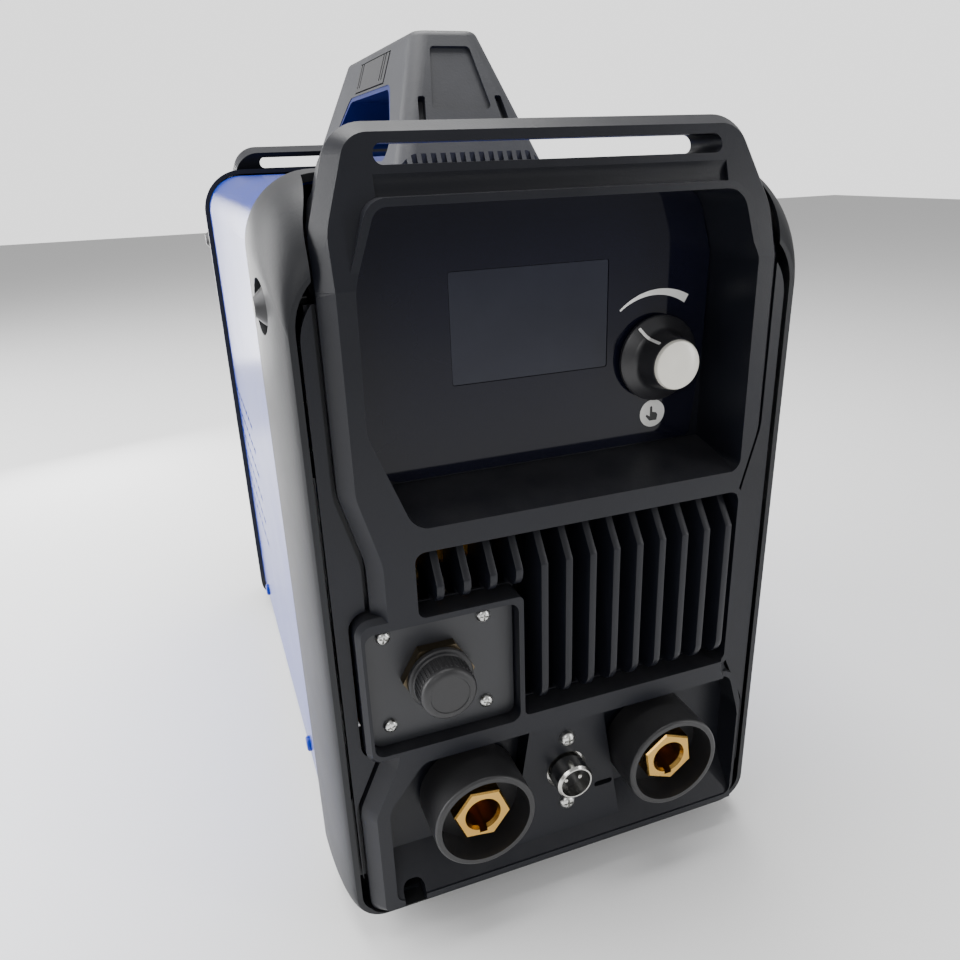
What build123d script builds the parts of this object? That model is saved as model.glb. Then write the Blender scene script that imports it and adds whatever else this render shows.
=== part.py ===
from build123d import *
import math
import os

# Inverter TIG welding machine: two moulded plastic end bezels, a folded blue sheet cover
# over a steel base pan, a moulded carrying handle, and the power electronics inside.
# Millimetres. +X is right seen from the front, the front faces -Y, +Z is up, and the
# origin is the bottom centre of the bounding box, with the feet standing on z = 0.

os.makedirs("parts", exist_ok=True)

# --- driving dimensions -----------------------------------------------------------
DEPTH = 338.0             # front face to the back face of the rear frame
FRONT_OUT = 12.0          # how far the socket collars stand out of the front face
REAR_OUT = 16.0           # how far the gas inlet and the gland stand out of the back face
FRONT = -(DEPTH + REAR_OUT - FRONT_OUT) / 2   # y of the front face of the raised frame
FOOT_H = 10.0             # rubber foot height, and so the bottom of the bezels
HALF_W = 98.0             # half the width over the bezels
BEZEL_TOP = 296.0         # top of the bezel shells
BEZEL_D = 45.0            # depth of a bezel shell along y
SHELL_CLOSES = 6.5        # how far each side of a shell closes in towards its front edge
FASCIA_HALF_W = 89.0      # half the width of the plate inside the shell
REAR_PLATE_HALF_W = 87.4  # half the width of the plate behind the rear frame
COVER_HALF_W = 95.4       # half the width of the sheet cover
COVER_TOP = 292.5
SHEET = 1.2               # cover sheet thickness
FRAME_TOP = 312.5         # top of the frame outline before its upper part leans back
LEAN_Z = 262.0            # height where the frame starts to lean back
LEAN = 17.0               # lean of the upper frame in degrees
SKIN = 3.0                # moulded wall
PANEL_Y = 28.0            # gloss panel, behind the front face
SOCKET_X = 42.0           # welding sockets, left and right of the centre
SOCKET_Z = 59.4
CONNECTOR_Z = 57.5
GAS_X = -53.4             # gas outlet axis
GAS_Z = 121.0
GAS_SCREW = 19.1          # half the spacing of the gas plate screws
KNOB_X = 48.8
KNOB_Z = 223.2
POINTER_CUT = 0.5         # depth of the pointer line in the knob's skirt
POINTER_TURN = -38.0      # the pointer line's angle at rest, from straight up
FAN_Z = 150.0
FAN_HALF = 59.5           # half of the 119 mm fan frame
SWITCH_X = 55.0
SWITCH_Z = 245.0
SWITCH_TIP = 12.0         # tilt of the rocker either side of level, in degrees
GLAND_X = 60.0
GLAND_Z = 62.0
INLET_X = -60.0
INLET_Z = 66.0
HANDLE_FRONT = 90.0       # handle foot, front end, behind the front face
HANDLE_BACK = 289.0
HANDLE_TOP = 347.0


# --- small helpers ---------------------------------------------------------------
def upright(y):
    """Plane facing the front at depth y behind the front face; local y is up."""
    return Plane(origin=(0, FRONT + y, 0), x_dir=(1, 0, 0), z_dir=(0, -1, 0))


def slab(face, y0, y1):
    """Face drawn in x and z, made solid from depth y0 to depth y1."""
    return extrude(upright(y0) * face, amount=-(y1 - y0))


def side_slab(face, x0, x1):
    """Face drawn in depth and z, made solid from x0 to x1."""
    plane = Plane(origin=(x0, FRONT, 0), x_dir=(0, 1, 0), z_dir=(1, 0, 0))
    return extrude(plane * face, amount=x1 - x0)


def block(x0, x1, y0, y1, z0, z1):
    """Box between two corners, with y as depth behind the front face."""
    centre = ((x0 + x1) / 2, FRONT + (y0 + y1) / 2, (z0 + z1) / 2)
    return Pos(*centre) * Box(x1 - x0, y1 - y0, z1 - z0)


def rod(x, z, radius, y0, y1):
    """Round bar along y."""
    return Pos(x, FRONT + (y0 + y1) / 2, z) * Rot(90, 0, 0) * Cylinder(radius, y1 - y0)


def tube(x, z, outer, inner, y0, y1):
    return rod(x, z, outer, y0, y1) - rod(x, z, inner, y0 - 1, y1 + 1)


def post(x, y, radius, z0, z1):
    """Round bar along z."""
    return Pos(x, FRONT + y, (z0 + z1) / 2) * Cylinder(radius, z1 - z0)


def cross_rod(y, z, radius, x0, x1):
    """Round bar along x."""
    return Pos((x0 + x1) / 2, FRONT + y, z) * Rot(0, 90, 0) * Cylinder(radius, x1 - x0)


def outline(points, radius):
    return make_face(FilletPolyline(*points, radius=radius, close=True))


def sharp(points):
    return make_face(Polyline(*points, close=True))


def rounded(x0, x1, z0, z1, radius):
    return Pos((x0 + x1) / 2, (z0 + z1) / 2) * RectangleRounded(x1 - x0, z1 - z0, radius)


def hexagon(x, z, across, y0, y1):
    face = Pos(x, z) * RegularPolygon(across / 2, 6, major_radius=False)
    return slab(face, y0, y1)


def mirror_back(shape):
    """The same shape at the back of the machine, facing the other way."""
    return mirror(shape, about=Plane(origin=(0, FRONT + DEPTH / 2, 0), z_dir=(0, 1, 0)))


def pan_screw(x, z, y_seat, head_r, head_h, shank_r, length):
    """Cross-recess pan head screw along y, its head standing forward of y_seat."""
    head = rod(x, z, head_r, y_seat - head_h, y_seat)
    head = fillet(head.edges().group_by(Axis.Y)[0], head_h * 0.55)
    cross = block(x - head_r * 0.55, x + head_r * 0.55, y_seat - head_h - 1, y_seat - head_h * 0.4,
                  z - head_r * 0.12, z + head_r * 0.12)
    cross += block(x - head_r * 0.12, x + head_r * 0.12, y_seat - head_h - 1, y_seat - head_h * 0.4,
                   z - head_r * 0.55, z + head_r * 0.55)
    return head - cross + rod(x, z, shank_r, y_seat, y_seat + length)


def save(name, shape):
    """Write one node; a list of separate solids becomes one group node."""
    if isinstance(shape, list):
        shape = Compound(children=[s.solid() for s in shape])
    shape.label = name
    export_step(shape, f"parts/{name}.step")


# --- bezel shells ----------------------------------------------------------------
def shell_section(y, inset):
    """Rounded rectangle of the shell at depth y; it closes in towards the front edge."""
    along = min(1.0, max(0.0, (BEZEL_D - y) / (BEZEL_D - 5.0)))
    closing = 1 - math.sqrt(1 - 0.98 * along ** 2)
    side = HALF_W - SHELL_CLOSES * closing - inset
    top = BEZEL_TOP - 27.0 * closing - inset
    bottom = FOOT_H + inset
    points = [(-side, bottom), (side, bottom), (side, top), (-side, top)]
    face = outline(points, [12.0 - inset, 12.0 - inset, 24.0 - inset, 24.0 - inset])
    return upright(y) * face


def bezel_shell():
    """Outer wrap of a bezel, open at the front for the fascia and at the back for the cover."""
    depths = [5.0, 7.0, 11.0, 17.0, 25.0, 35.0, BEZEL_D]
    outer = loft([shell_section(y, 0.0) for y in depths])
    inner = loft([shell_section(y, 2.5) for y in [5.0 - 0.5] + depths[1:] + [BEZEL_D + 1]])
    shell = outer - inner
    shell -= slab(offset(frame_outline(), 1.0), -5, 12)
    shell -= slab(offset(frame_outline(), 1.0), -5, 33.6) & block(-90, 90, -5, 40, LEAN_Z, 320)
    shell -= slab(cover_profile(COVER_HALF_W + 0.1, COVER_TOP + 0.1, 20, 20.1), 37.7, 60)
    for x in (-70, 70):
        shell -= post(x, 32, 2.3, 5, 20)
    for x in (-HALF_W, HALF_W):
        shell -= cross_rod(27, 256, 9.0, x - 3.2, x + 3.2)
        inward = 1 if x < 0 else -1
        shell += cross_rod(27, 256, 10.5, x + inward * 4.4 - 1.2, x + inward * 4.4 + 1.2)
        shell -= cross_rod(27, 256, 2.6, x - 12, x + 12)
    return shell


def side_screws(place):
    """Domed screws that hold a bezel shell to the cover, one in each round recess."""
    screws = []
    for side in (-1, 1):
        head = side * (HALF_W - 3.2)
        dome = Pos(head, FRONT + 27, 256) * Rot(0, 90 * side, 0) * Cone(7.5, 3.0, 4.6,
                                                                     align=(Align.CENTER, Align.CENTER, Align.MIN))
        shank = cross_rod(27, 256, 2.4, min(head, head - side * 12), max(head, head - side * 12))
        screws.append(place(dome + shank))
    return screws


# --- front frame -----------------------------------------------------------------
def frame_outline():
    """Hourglass outline of the raised frame, seen from the front."""
    right = [(72, FRAME_TOP), (83, 280), (83, 196), (76, 170), (76, 90), (87, 66), (87, FOOT_H + 1.5)]
    radii = [14, 26, 22, 22, 14, 14, 7]
    left = [(-x, z) for x, z in reversed(right)]
    return outline(right + left, radii + radii[::-1])


def leaning(shape):
    """Turn a shape backwards about the line where the upper frame starts to lean."""
    axis = Axis((0, FRONT, LEAN_Z), (1, 0, 0))
    return shape.rotate(axis, -LEAN)


def chamfered_slab(face, chamfer, depth):
    """Slab from the front face to depth, its front edge sloped off all round."""
    slope = math.degrees(math.atan(0.9))
    nose = extrude(upright(chamfer) * face, amount=chamfer, taper=slope)
    return nose + slab(face, chamfer, depth)


def below_lean():
    return block(-120, 120, -20, 80, 0, LEAN_Z)


def above_lean():
    return block(-120, 120, -20, 80, LEAN_Z, 340)


def upper_frame():
    """Leaning top of the frame, with its carrying bar, through slot and finger scoop."""
    top = chamfered_slab(frame_outline(), 5.5, 18) & above_lean()
    top = leaning(top)
    top += slab(rounded(-79, 79, LEAN_Z - 6, 294, 12), 14, 33)
    top -= slab(rounded(-61, 61, 296.3, 302.4, 2.9), -5, 60)
    scoop = cross_rod(2.5, 290.5, 8.0, -62, 62)
    return top - scoop


def recess_outline():
    """Opening of the display recess; its lower left corner is cut off at a slant."""
    points = [(-64, 285), (64, 285), (71.5, 262), (71.5, 181.5), (-59, 181.5), (-72.5, 217), (-72, 262)]
    return outline(points, [5, 9, 14, 5, 9, 14, 14])


def vent_outline():
    points = [(-60, 173), (73, 173), (73, 94), (-20, 94), (-20, 147.5), (-60, 147.5)]
    return outline(points, [4, 5.4, 3.6, 2.2, 2.2, 3])


def socket_recess():
    points = [(-62, 85), (77, 85), (82, 68), (82, 19), (-77, 19), (-77, 66)]
    return outline(points, [6, 6, 10, 4, 4, 10])


def front_frame():
    """Raised inner frame with the display recess, vent, gas pocket and socket recess."""
    face = frame_outline()
    body = chamfered_slab(face, 5.5, 11) & below_lean()
    body -= slab(offset(face, -8), SKIN, 20) & block(-120, 120, -20, 80, 14, LEAN_Z - 10)
    flange = slab(offset(face, 3.5), 9.2, 11) - slab(offset(face, -8), 5, 20)
    body += flange & block(-120, 120, 0, 80, 30, LEAN_Z - 4)
    body += upper_frame()
    gas_box = rounded(-83, -19, 89, 150.5, 6)
    body += chamfered_slab(gas_box, 2.0, 10)
    body += slab(offset(recess_outline(), 2.5), 1.5, 32)
    body += slab(offset(vent_outline(), 2.5), 1.0, 11)
    body += slab(offset(socket_recess(), 2.5), 1.5, 15)
    # display recess with its sloping shelf
    body -= slab(recess_outline(), -20, PANEL_Y + 1.5)
    shelf = side_slab(sharp([(-1, 181.5), (PANEL_Y + 1.5, 187.5), (PANEL_Y + 1.5, 180), (-1, 180)]), -63, 71.5)
    body += shelf & slab(offset(recess_outline(), 1.0), 0, PANEL_Y + 1.5)
    body -= slab(rounded(-36, 30, 219.5, 264, 2), 20, 40)
    body -= rod(KNOB_X, KNOB_Z, 7.0, 20, 40)
    # vent, gas plate pocket and socket recess
    body -= slab(vent_outline(), -5, 40)
    body -= slab(rounded(-80, -22, 92.5, 145.2, 4), -5, 8)
    body -= rod(GAS_X, GAS_Z, 10.3, 5, 20)
    body -= slab(socket_recess(), -5, 12)
    body += connector_block()
    body += side_slab(sharp([(0.5, 19.5), (12, 36), (12, 16), (0.5, 16)]), -78, 83) & slab(face, 0, 15)
    for x in (-SOCKET_X, SOCKET_X):
        body -= rod(x, SOCKET_Z, 21.2, -8, 9.5)
        body -= rod(x, SOCKET_Z, 17.0, 5, 30)
    body -= rod(0, CONNECTOR_Z, 9.0, 0, 30)
    body -= slab(rounded(13.4, 21.9, 43.2, 45.8, 1.2), 0, 30)
    body -= slab(rounded(-74, -65, 5, 25, 3.5), -5, 30)
    for x in (-1, 1):
        for z in (-1, 1):
            body -= rod(GAS_X + x * GAS_SCREW, GAS_Z + z * GAS_SCREW, 1.2, 5, 20)
    for z in (-16.5, 16.5):
        body -= rod(0, CONNECTOR_Z + z, 1.6, 0, 30)
    return body


def connector_block():
    """Trapezoid block between the sockets that carries the control connector."""
    face = sharp([(-16, 86), (16, 86), (27, 18), (-27, 18)])
    solid = slab(face, 4, 14)
    return solid - slab(rounded(-9, 9, CONNECTOR_Z - 9, CONNECTOR_Z + 9, 8.9), 12, 20)


def fascia(opening):
    """Flat plate inside the shell's front edge, with a groove's width round the frame."""
    plate = slab(rounded(-FASCIA_HALF_W, FASCIA_HALF_W, FOOT_H + 4.5, 266, 20), 6.0, 9.0)
    plate -= slab(rounded(-84.2, -18, 87.8, 151.7, 7), -5, 20)
    return plate - slab(offset(opening, 1.6), -5, 20)


def fin_profile(z_bottom, z_stub, bend_r):
    """Side view of one vent fin, from its sloped top to its rounded lower end, with its root on the rim."""
    line = Polyline((24, 176.2), (11.4, 176.2), (11.4, 172.2), (9, 171.8), (-0.4, 159), (-0.4, z_bottom + bend_r))
    bend = RadiusArc((-0.4, z_bottom + bend_r), (bend_r - 0.4, z_bottom), -bend_r)
    close = Polyline((bend_r - 0.4, z_bottom), (11.4, z_bottom), (11.4, z_stub), (24, z_stub), (24, 176.2))
    return make_face(Curve() + [line, bend, close])


def front_grille():
    """Louvre insert: a rim behind the vent and thirteen upright fins moulded on it."""
    rim = slab(offset(vent_outline(), 5.0), 11.2, 13.2) - slab(offset(vent_outline(), -0.6), 5, 30)
    for index in range(13):
        x = -53 + 10 * index
        short = index < 4
        profile = fin_profile(150.5, 144.0, 7.0) if short else fin_profile(97.0, 91.5, 9.0)
        rim += side_slab(profile, x, x + 3.0)
    return rim


# --- display ---------------------------------------------------------------------
def display_panel():
    """Gloss black sheet that fills the back of the display recess."""
    points = [(-64, 284.5), (64, 284.5), (71, 262), (70.5, 226), (66.5, 188.6), (-61.4, 188.6), (-72, 217), (-71.5, 262)]
    plate = slab(outline(points, [5, 9, 12, 6, 3, 9, 14, 14]), PANEL_Y, PANEL_Y + 1.4)
    plate -= slab(rounded(-34.4, 27.7, 221.7, 261.7, 1.0), 20, 40)
    return plate - rod(KNOB_X, KNOB_Z, 5.2, 20, 40)


def lcd_module():
    """Display glass flush in the panel's window, on its wider metal back."""
    glass = slab(rounded(-34.2, 27.5, 221.9, 261.5, 0.8), PANEL_Y + 0.3, PANEL_Y + 6.0)
    return glass + block(-38, 31.5, PANEL_Y + 6.0, PANEL_Y + 8.5, 218, 265.5)


def control_board():
    board = block(-66, 66, 39, 40.6, 192, 276)
    return board - rod(KNOB_X, KNOB_Z, 3.6, 30, 50)


def encoder_body():
    """Rotary encoder: a square can on the board and the threaded bush towards the knob."""
    can = block(KNOB_X - 6.2, KNOB_X + 6.2, 33.4, 39, KNOB_Z - 6.2, KNOB_Z + 6.2)
    return can + rod(KNOB_X, KNOB_Z, 4.6, 27.5, 33.4) - rod(KNOB_X, KNOB_Z, 3.1, 20, 38.2)


def encoder_nut():
    return hexagon(KNOB_X, KNOB_Z, 11, 29.6, 31.4) - rod(KNOB_X, KNOB_Z, 4.6, 20, 40)


def encoder_plunger():
    """Push rod inside the encoder bush; pressing the knob drives it on to the switch."""
    return rod(KNOB_X, KNOB_Z, 2.9, 28.4, 36.8)


def knob_skirt():
    profile = [(0, 13.0), (9.6, 13.0), (10.6, 21.5), (16.4, 24.6), (16.8, 26.4), (0, 26.4)]
    plane = Plane(origin=(KNOB_X, FRONT, KNOB_Z), x_dir=(1, 0, 0), z_dir=(0, 0, 1))
    face = plane * make_face(Polyline(*profile, close=True))
    body = revolve(face, Axis((KNOB_X, FRONT, KNOB_Z), (0, 1, 0)))
    body -= rod(KNOB_X, KNOB_Z, 5.4, 18.0, 30)
    marker = block(KNOB_X - 0.7, KNOB_X + 0.7, 14, 27, KNOB_Z + 8, KNOB_Z + 18)
    pointer = (marker & body) - Pos(0, POINTER_CUT, 0) * body
    return body - pointer.rotate(Axis((KNOB_X, FRONT, KNOB_Z), (0, 1, 0)), POINTER_TURN)


def knob_cap():
    disc = rod(KNOB_X, KNOB_Z, 9.4, 11.2, 13.0)
    return fillet(disc.edges().group_by(Axis.Y)[0], 0.7)


def knob_shaft():
    """D-shaft and the knob's socket ring round it, turning in front of the bush."""
    shaft = rod(KNOB_X, KNOB_Z, 5.4, 18.0, 19.6)
    return shaft + rod(KNOB_X, KNOB_Z, 2.9, 19.6, 28.4)


# --- sockets and connector -------------------------------------------------------
def socket_insert(x, turn):
    """Brass hexagon insert with the bayonet bore, and its rear stud for the busbar."""
    hexa = hexagon(0, 0, 20.6, -8, 6)
    hexa = hexa.rotate(Axis((0, FRONT, 0), (0, 1, 0)), turn)
    brass = Pos(x, 0, SOCKET_Z) * hexa
    brass = chamfer(brass.edges().group_by(Axis.Y)[0], 0.6)
    brass += rod(x, SOCKET_Z, 9.4, 6, 30) + rod(x, SOCKET_Z, 5.0, 30, 46)
    bore = rod(x, SOCKET_Z, 6.6, -9, 20)
    mouth = Pos(x, FRONT - 8, SOCKET_Z) * Rot(-90, 0, 0) * Cone(7.4, 6.6, 1.6,
                                                              align=(Align.CENTER, Align.CENTER, Align.MIN))
    key = block(x - 1.6, x + 1.6, -9, 12, SOCKET_Z - 8.6, SOCKET_Z)
    return brass - bore - mouth - key


def socket_collar(x, turn):
    """Insulating collar of a welding socket, with a hexagonal seat for its insert."""
    body = rod(x, SOCKET_Z, 20.7, -12, 9.5)
    body = fillet(body.edges().group_by(Axis.Y)[0], 1.0)
    body += rod(x, SOCKET_Z, 16.9, 9.5, 24)
    body -= rod(x, SOCKET_Z, 18.2, -13, 1)
    seat = hexagon(0, 0, 20.6, 0, 6).rotate(Axis((0, FRONT, 0), (0, 1, 0)), turn)
    return body - rod(x, SOCKET_Z, 9.4, -20, 40) - Pos(x, 0, SOCKET_Z) * seat


def socket_nut(x):
    return hexagon(x, SOCKET_Z, 42, 15.2, 21) - rod(x, SOCKET_Z, 16.9, 0, 40)


def connector_shell():
    body = rod(0, CONNECTOR_Z, 7.9, -5, 22)
    body = chamfer(body.edges().group_by(Axis.Y)[0], 0.8)
    body += rod(0, CONNECTOR_Z, 8.9, 6, 12)
    return body - rod(0, CONNECTOR_Z, 6.5, -6, 1) - rod(0, CONNECTOR_Z, 6.5, 0.5, 30)


def connector_insulator():
    body = rod(0, CONNECTOR_Z, 6.5, 1, 20)
    for x in (-3.2, 3.2):
        body -= rod(x, CONNECTOR_Z, 1.1, 0, 30)
    return body


def connector_pins():
    pins = []
    for x in (-3.2, 3.2):
        pin = rod(x, CONNECTOR_Z, 1.1, -2.6, 25)
        pins.append(fillet(pin.edges().group_by(Axis.Y)[0], 0.8))
    return pins


# --- gas outlet ------------------------------------------------------------------
def gas_plate():
    plate = slab(rounded(-79.4, -22.6, 93.1, 144.6, 3.5), 5.5, 8.0)
    plate -= rod(GAS_X, GAS_Z, 6.0, 0, 20)
    for x in (-1, 1):
        for z in (-1, 1):
            plate -= rod(GAS_X + x * GAS_SCREW, GAS_Z + z * GAS_SCREW, 1.5, 0, 20)
    return plate


def gas_fitting():
    """Threaded brass outlet through the plate, with a hose barb behind it."""
    body = rod(GAS_X, GAS_Z, 6.0, -8, 14) + hexagon(GAS_X, GAS_Z, 17, 8.0, 14)
    for step in range(3):
        body += Pos(GAS_X, FRONT + 17 + 4 * step, GAS_Z) * Rot(-90, 0, 0) * Cone(4.4, 3.4, 4)
    body += rod(GAS_X, GAS_Z, 3.4, 12, 28)
    return body - rod(GAS_X, GAS_Z, 2.2, -9, 40)


def gas_nut():
    ring = hexagon(GAS_X, GAS_Z, 24, 1.6, 5.5) - rod(GAS_X, GAS_Z, 6.0, 0, 20)
    return ring


def gas_cap():
    """Blind plastic cap over the outlet thread."""
    cap = rod(GAS_X, GAS_Z, 10.5, -11.5, 1.2)
    cap = fillet(cap.edges().group_by(Axis.Y)[0], 0.8)
    cap += rod(GAS_X, GAS_Z, 12.4, -1.4, 1.2)
    return cap - rod(GAS_X, GAS_Z, 6.4, -8.6, 3)


# --- cover, base and feet --------------------------------------------------------
def cover_profile(half, top, bottom, radius):
    face = rounded(-half, half, bottom - 40, top, radius)
    return face & Pos(0, (top + bottom) / 2) * Rectangle(2 * half + 2, top - bottom)


def cover():
    """Folded sheet cover: top and both sides, with a row of louvre slots low on each side."""
    skin = slab(cover_profile(COVER_HALF_W, COVER_TOP, 25, 20), 38, DEPTH - 38)
    skin -= slab(cover_profile(COVER_HALF_W - SHEET, COVER_TOP - SHEET, 20, 18.8), 30, DEPTH - 30)
    for row in range(6):
        for column in range(7):
            y = 190 + 14 * column
            z = 96 + 14 * row
            skin -= block(-120, 120, y, y + 10, z, z + 2.5)
    for y in (95, 262):
        skin -= cross_rod(y, 32, 2.2, -120, 120)
    for x in (-24, 24):
        for y in (100, 272):
            skin -= post(x, y, 2.6, 280, 300)
    for y in (27, DEPTH - 27):
        skin -= cross_rod(y, 256, 2.6, -120, 120)
    return skin


def cover_screws():
    screws = []
    for side in (-1, 1):
        for y in (95, 262):
            head = cross_rod(y, 32, 3.8, *sorted((side * COVER_HALF_W, side * (COVER_HALF_W + 1.8))))
            outer = head.edges().group_by(Axis.X)[0 if side < 0 else -1]
            head = fillet(outer, 1.2)
            screws.append(head + cross_rod(y, 32, 2.0, *sorted((side * (COVER_HALF_W - 8), side * COVER_HALF_W))))
    return screws


def base_pan():
    """Folded steel pan that carries the electronics, the cover and the feet."""
    outer = [(-93.9, 40), (-93.9, 24), (-82.9, 13), (82.9, 13), (93.9, 24), (93.9, 40)]
    inner = [(-92.4, 41), (-92.4, 24.6), (-82.3, 14.5), (82.3, 14.5), (92.4, 24.6), (92.4, 41)]
    pan = slab(sharp(outer), 30, DEPTH - 30) - slab(sharp(inner), 20, DEPTH - 20)
    for y in (95, 262):
        pan -= cross_rod(y, 32, 2.1, -96, 96)
    for x, y in foot_places():
        pan -= post(x, y, 2.3, 5, 20)
    for row in range(5):
        for column in range(4):
            pan -= block(-75 + 40 * column, -45 + 40 * column, 120 + 16 * row, 124 + 16 * row, 5, 20)
    return pan


def foot_places():
    return [(x, y) for x in (-70, 70) for y in (32, DEPTH - 32)]


def feet():
    rubber = []
    for x, y in foot_places():
        foot = Pos(x, FRONT + y, 5.0) * Cone(10.5, 12.0, 10)
        rubber.append(foot - post(x, y, 4.6, -1, 5) - post(x, y, 2.2, -1, 12))
    return rubber


def foot_screws():
    screws = []
    for x, y in foot_places():
        screws.append(post(x, y, 4.4, 2.5, 5.0) + post(x, y, 2.2, 5.0, 20.0))
    return screws


# --- handle ----------------------------------------------------------------------
def handle_block(grow, z0, z1):
    """Solid trapezoid of the handle: wide and long at the foot, narrow at the top."""
    span = HANDLE_TOP - COVER_TOP
    sections = []
    for z in (z0, z1):
        t = (z - COVER_TOP) / span
        half = 33 - 18.5 * t + grow
        y0 = HANDLE_FRONT + 30 * t - grow
        y1 = HANDLE_BACK - 41 * t + grow
        face = Pos(0, FRONT + (y0 + y1) / 2, z) * RectangleRounded(2 * half, y1 - y0, 7)
        sections.append(face)
    return loft(sections)


def hand_opening(grow):
    points = [(108 - grow, 299.5 - grow), (139 - grow, 326.5 + grow), (216 + grow, 326.5 + grow),
              (250 + grow, 299.5 - grow)]
    return side_slab(outline(points, [4 + grow, 9 + grow, 9 + grow, 4 + grow]), -60, 60)


def handle_body():
    """Moulded carrying handle: two legs, the grip and the foot rail in one piece."""
    body = handle_block(0, COVER_TOP, HANDLE_TOP)
    body = fillet(body.edges().group_by(Axis.Z)[-1], 4)
    body -= hand_opening(2.0)
    # framed inset and two slots in the sloping front, ribs on its foot
    lean = math.degrees(math.atan2(30, HANDLE_TOP - COVER_TOP))
    front_plane = Plane(origin=(0, FRONT + HANDLE_FRONT, COVER_TOP), x_dir=(1, 0, 0), z_dir=(0, -1, 0))
    inset = front_plane * outline([(-13, 27), (13, 27), (8.5, 55), (-8.5, 55)], 2)
    inset = extrude(inset, amount=-1.5, both=True)
    body -= inset.rotate(Axis((0, FRONT + HANDLE_FRONT, COVER_TOP), (1, 0, 0)), -lean)
    for side in (-1, 1):
        slot = front_plane * outline([(side * 16.5, 22), (side * 19.5, 22), (side * 18, 33), (side * 15, 33)], 0.8)
        slot = extrude(slot, amount=-4, both=True)
        body -= slot.rotate(Axis((0, FRONT + HANDLE_FRONT, COVER_TOP), (1, 0, 0)), -lean)
    for index in range(15):
        x = -28.7 + 4.1 * index
        body -= block(x - 1.1, x + 1.1, 80, 94, COVER_TOP + 1.5, COVER_TOP + 15)
    for side in (-1, 1):
        body -= grip_pocket(side)
    for x in (-24, 24):
        for y in (100, 272):
            body -= post(x, y, 2.0, COVER_TOP - 1, COVER_TOP + 9)
    return body


def grip_pocket(side):
    """Shallow side pocket along the grip that the soft pad sits in."""
    region = block(*sorted((side * 8, side * 60)), 150, 208, 329.5, 343)
    return region & (handle_block(1, COVER_TOP, HANDLE_TOP) - handle_block(-1.6, COVER_TOP, HANDLE_TOP + 3))


def grip_pads():
    pads = []
    for side in (-1, 1):
        region = block(*sorted((side * 8, side * 60)), 150.6, 207.4, 330.1, 342.4)
        shell = handle_block(0.3, COVER_TOP, HANDLE_TOP) - handle_block(-1.6, COVER_TOP, HANDLE_TOP + 3)
        pad = region & shell
        for y in (155, 159, 199, 203):
            pad -= block(*sorted((side * 8, side * 60)), y, y + 1.4, 331.6, 345)
        pads.append(pad)
    return pads


def handle_liner():
    """Blue ring that lines the hand opening."""
    ring = hand_opening(2.0) - hand_opening(0.0)
    return ring & handle_block(-0.4, COVER_TOP, HANDLE_TOP)


def handle_screws():
    screws = []
    for x in (-24, 24):
        for y in (100, 272):
            head = post(x, y, 4.0, COVER_TOP - SHEET - 2.4, COVER_TOP - SHEET)
            screws.append(head + post(x, y, 2.0, COVER_TOP - SHEET, COVER_TOP + 8))
    return screws


# --- rear frame ------------------------------------------------------------------
def rear_frame():
    """Rear moulding: the same bar and slot as the front, and the fan grille below."""
    face = rounded(-82, 82, FOOT_H + 4, 275, 16)
    body = chamfered_slab(face, 4.0, 8)
    flange = slab(rounded(-REAR_PLATE_HALF_W, REAR_PLATE_HALF_W, FOOT_H + 4.5, 262, 14), 6.2, 8)
    body += flange
    body -= slab(offset(face, -8), SKIN, 20)
    body += upper_frame()
    body = mirror_back(body)
    for ring in range(6):
        radius = 14.0 + 8.4 * ring
        body -= tube(0, FAN_Z, radius + 5.2, radius, DEPTH - 10, DEPTH + 10)
    for spoke in range(6):
        bar = block(-1.8, 1.8, DEPTH - SKIN, DEPTH, FAN_Z + 10, FAN_Z + 64)
        body += bar.rotate(Axis((0, FRONT, FAN_Z), (0, 1, 0)), 60 * spoke)
    body += rod(0, FAN_Z, 14.2, DEPTH - SKIN, DEPTH)
    body -= slab(rounded(SWITCH_X - 14, SWITCH_X + 14, SWITCH_Z - 10.6, SWITCH_Z + 10.6, 0.3), DEPTH - 20, DEPTH + 5)
    body -= rod(GLAND_X, GLAND_Z, 10.0, DEPTH - 20, DEPTH + 5)
    body -= rod(INLET_X, INLET_Z, 6.6, DEPTH - 20, DEPTH + 5)
    for x in (-52.5, 52.5):
        for z in (-52.5, 52.5):
            body -= rod(x, FAN_Z + z, 2.1, DEPTH - 20, DEPTH + 5)
    return body


def fan_frame():
    body = block(-FAN_HALF, FAN_HALF, 309, 334.6, FAN_Z - FAN_HALF, FAN_Z + FAN_HALF)
    body -= rod(0, FAN_Z, 57.0, 300, 345)
    for x in (-52.5, 52.5):
        for z in (-52.5, 52.5):
            body -= rod(x, FAN_Z + z, 2.1, 300, 345)
    for spoke in range(4):
        strut = block(-2.5, 2.5, 309, 312, FAN_Z, FAN_Z + 58)
        body += strut.rotate(Axis((0, FRONT, FAN_Z), (0, 1, 0)), 45 + 90 * spoke)
    body += rod(0, FAN_Z, 18, 309, 312.5)
    body += rod(0, FAN_Z, 1.5, 312, 330)
    return body


def fan_rotor():
    """Hub cup and seven pitched blades."""
    body = rod(0, FAN_Z, 19.0, 313.2, 331.5) - rod(0, FAN_Z, 17.0, 312, 329.5)
    body += rod(0, FAN_Z, 4.0, 313.2, 330)
    for index in range(7):
        blade = Pos(0, FRONT + 322.5, FAN_Z + 36.5) * Rot(0, 0, 38) * Box(26, 1.8, 37)
        body += (blade & tube(0, FAN_Z, 54.5, 18, 313.6, 331.4)).rotate(
            Axis((0, FRONT, FAN_Z), (0, 1, 0)), 360 / 7 * index)
    return body - rod(0, FAN_Z, 1.55, 300, 330.3)


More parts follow.
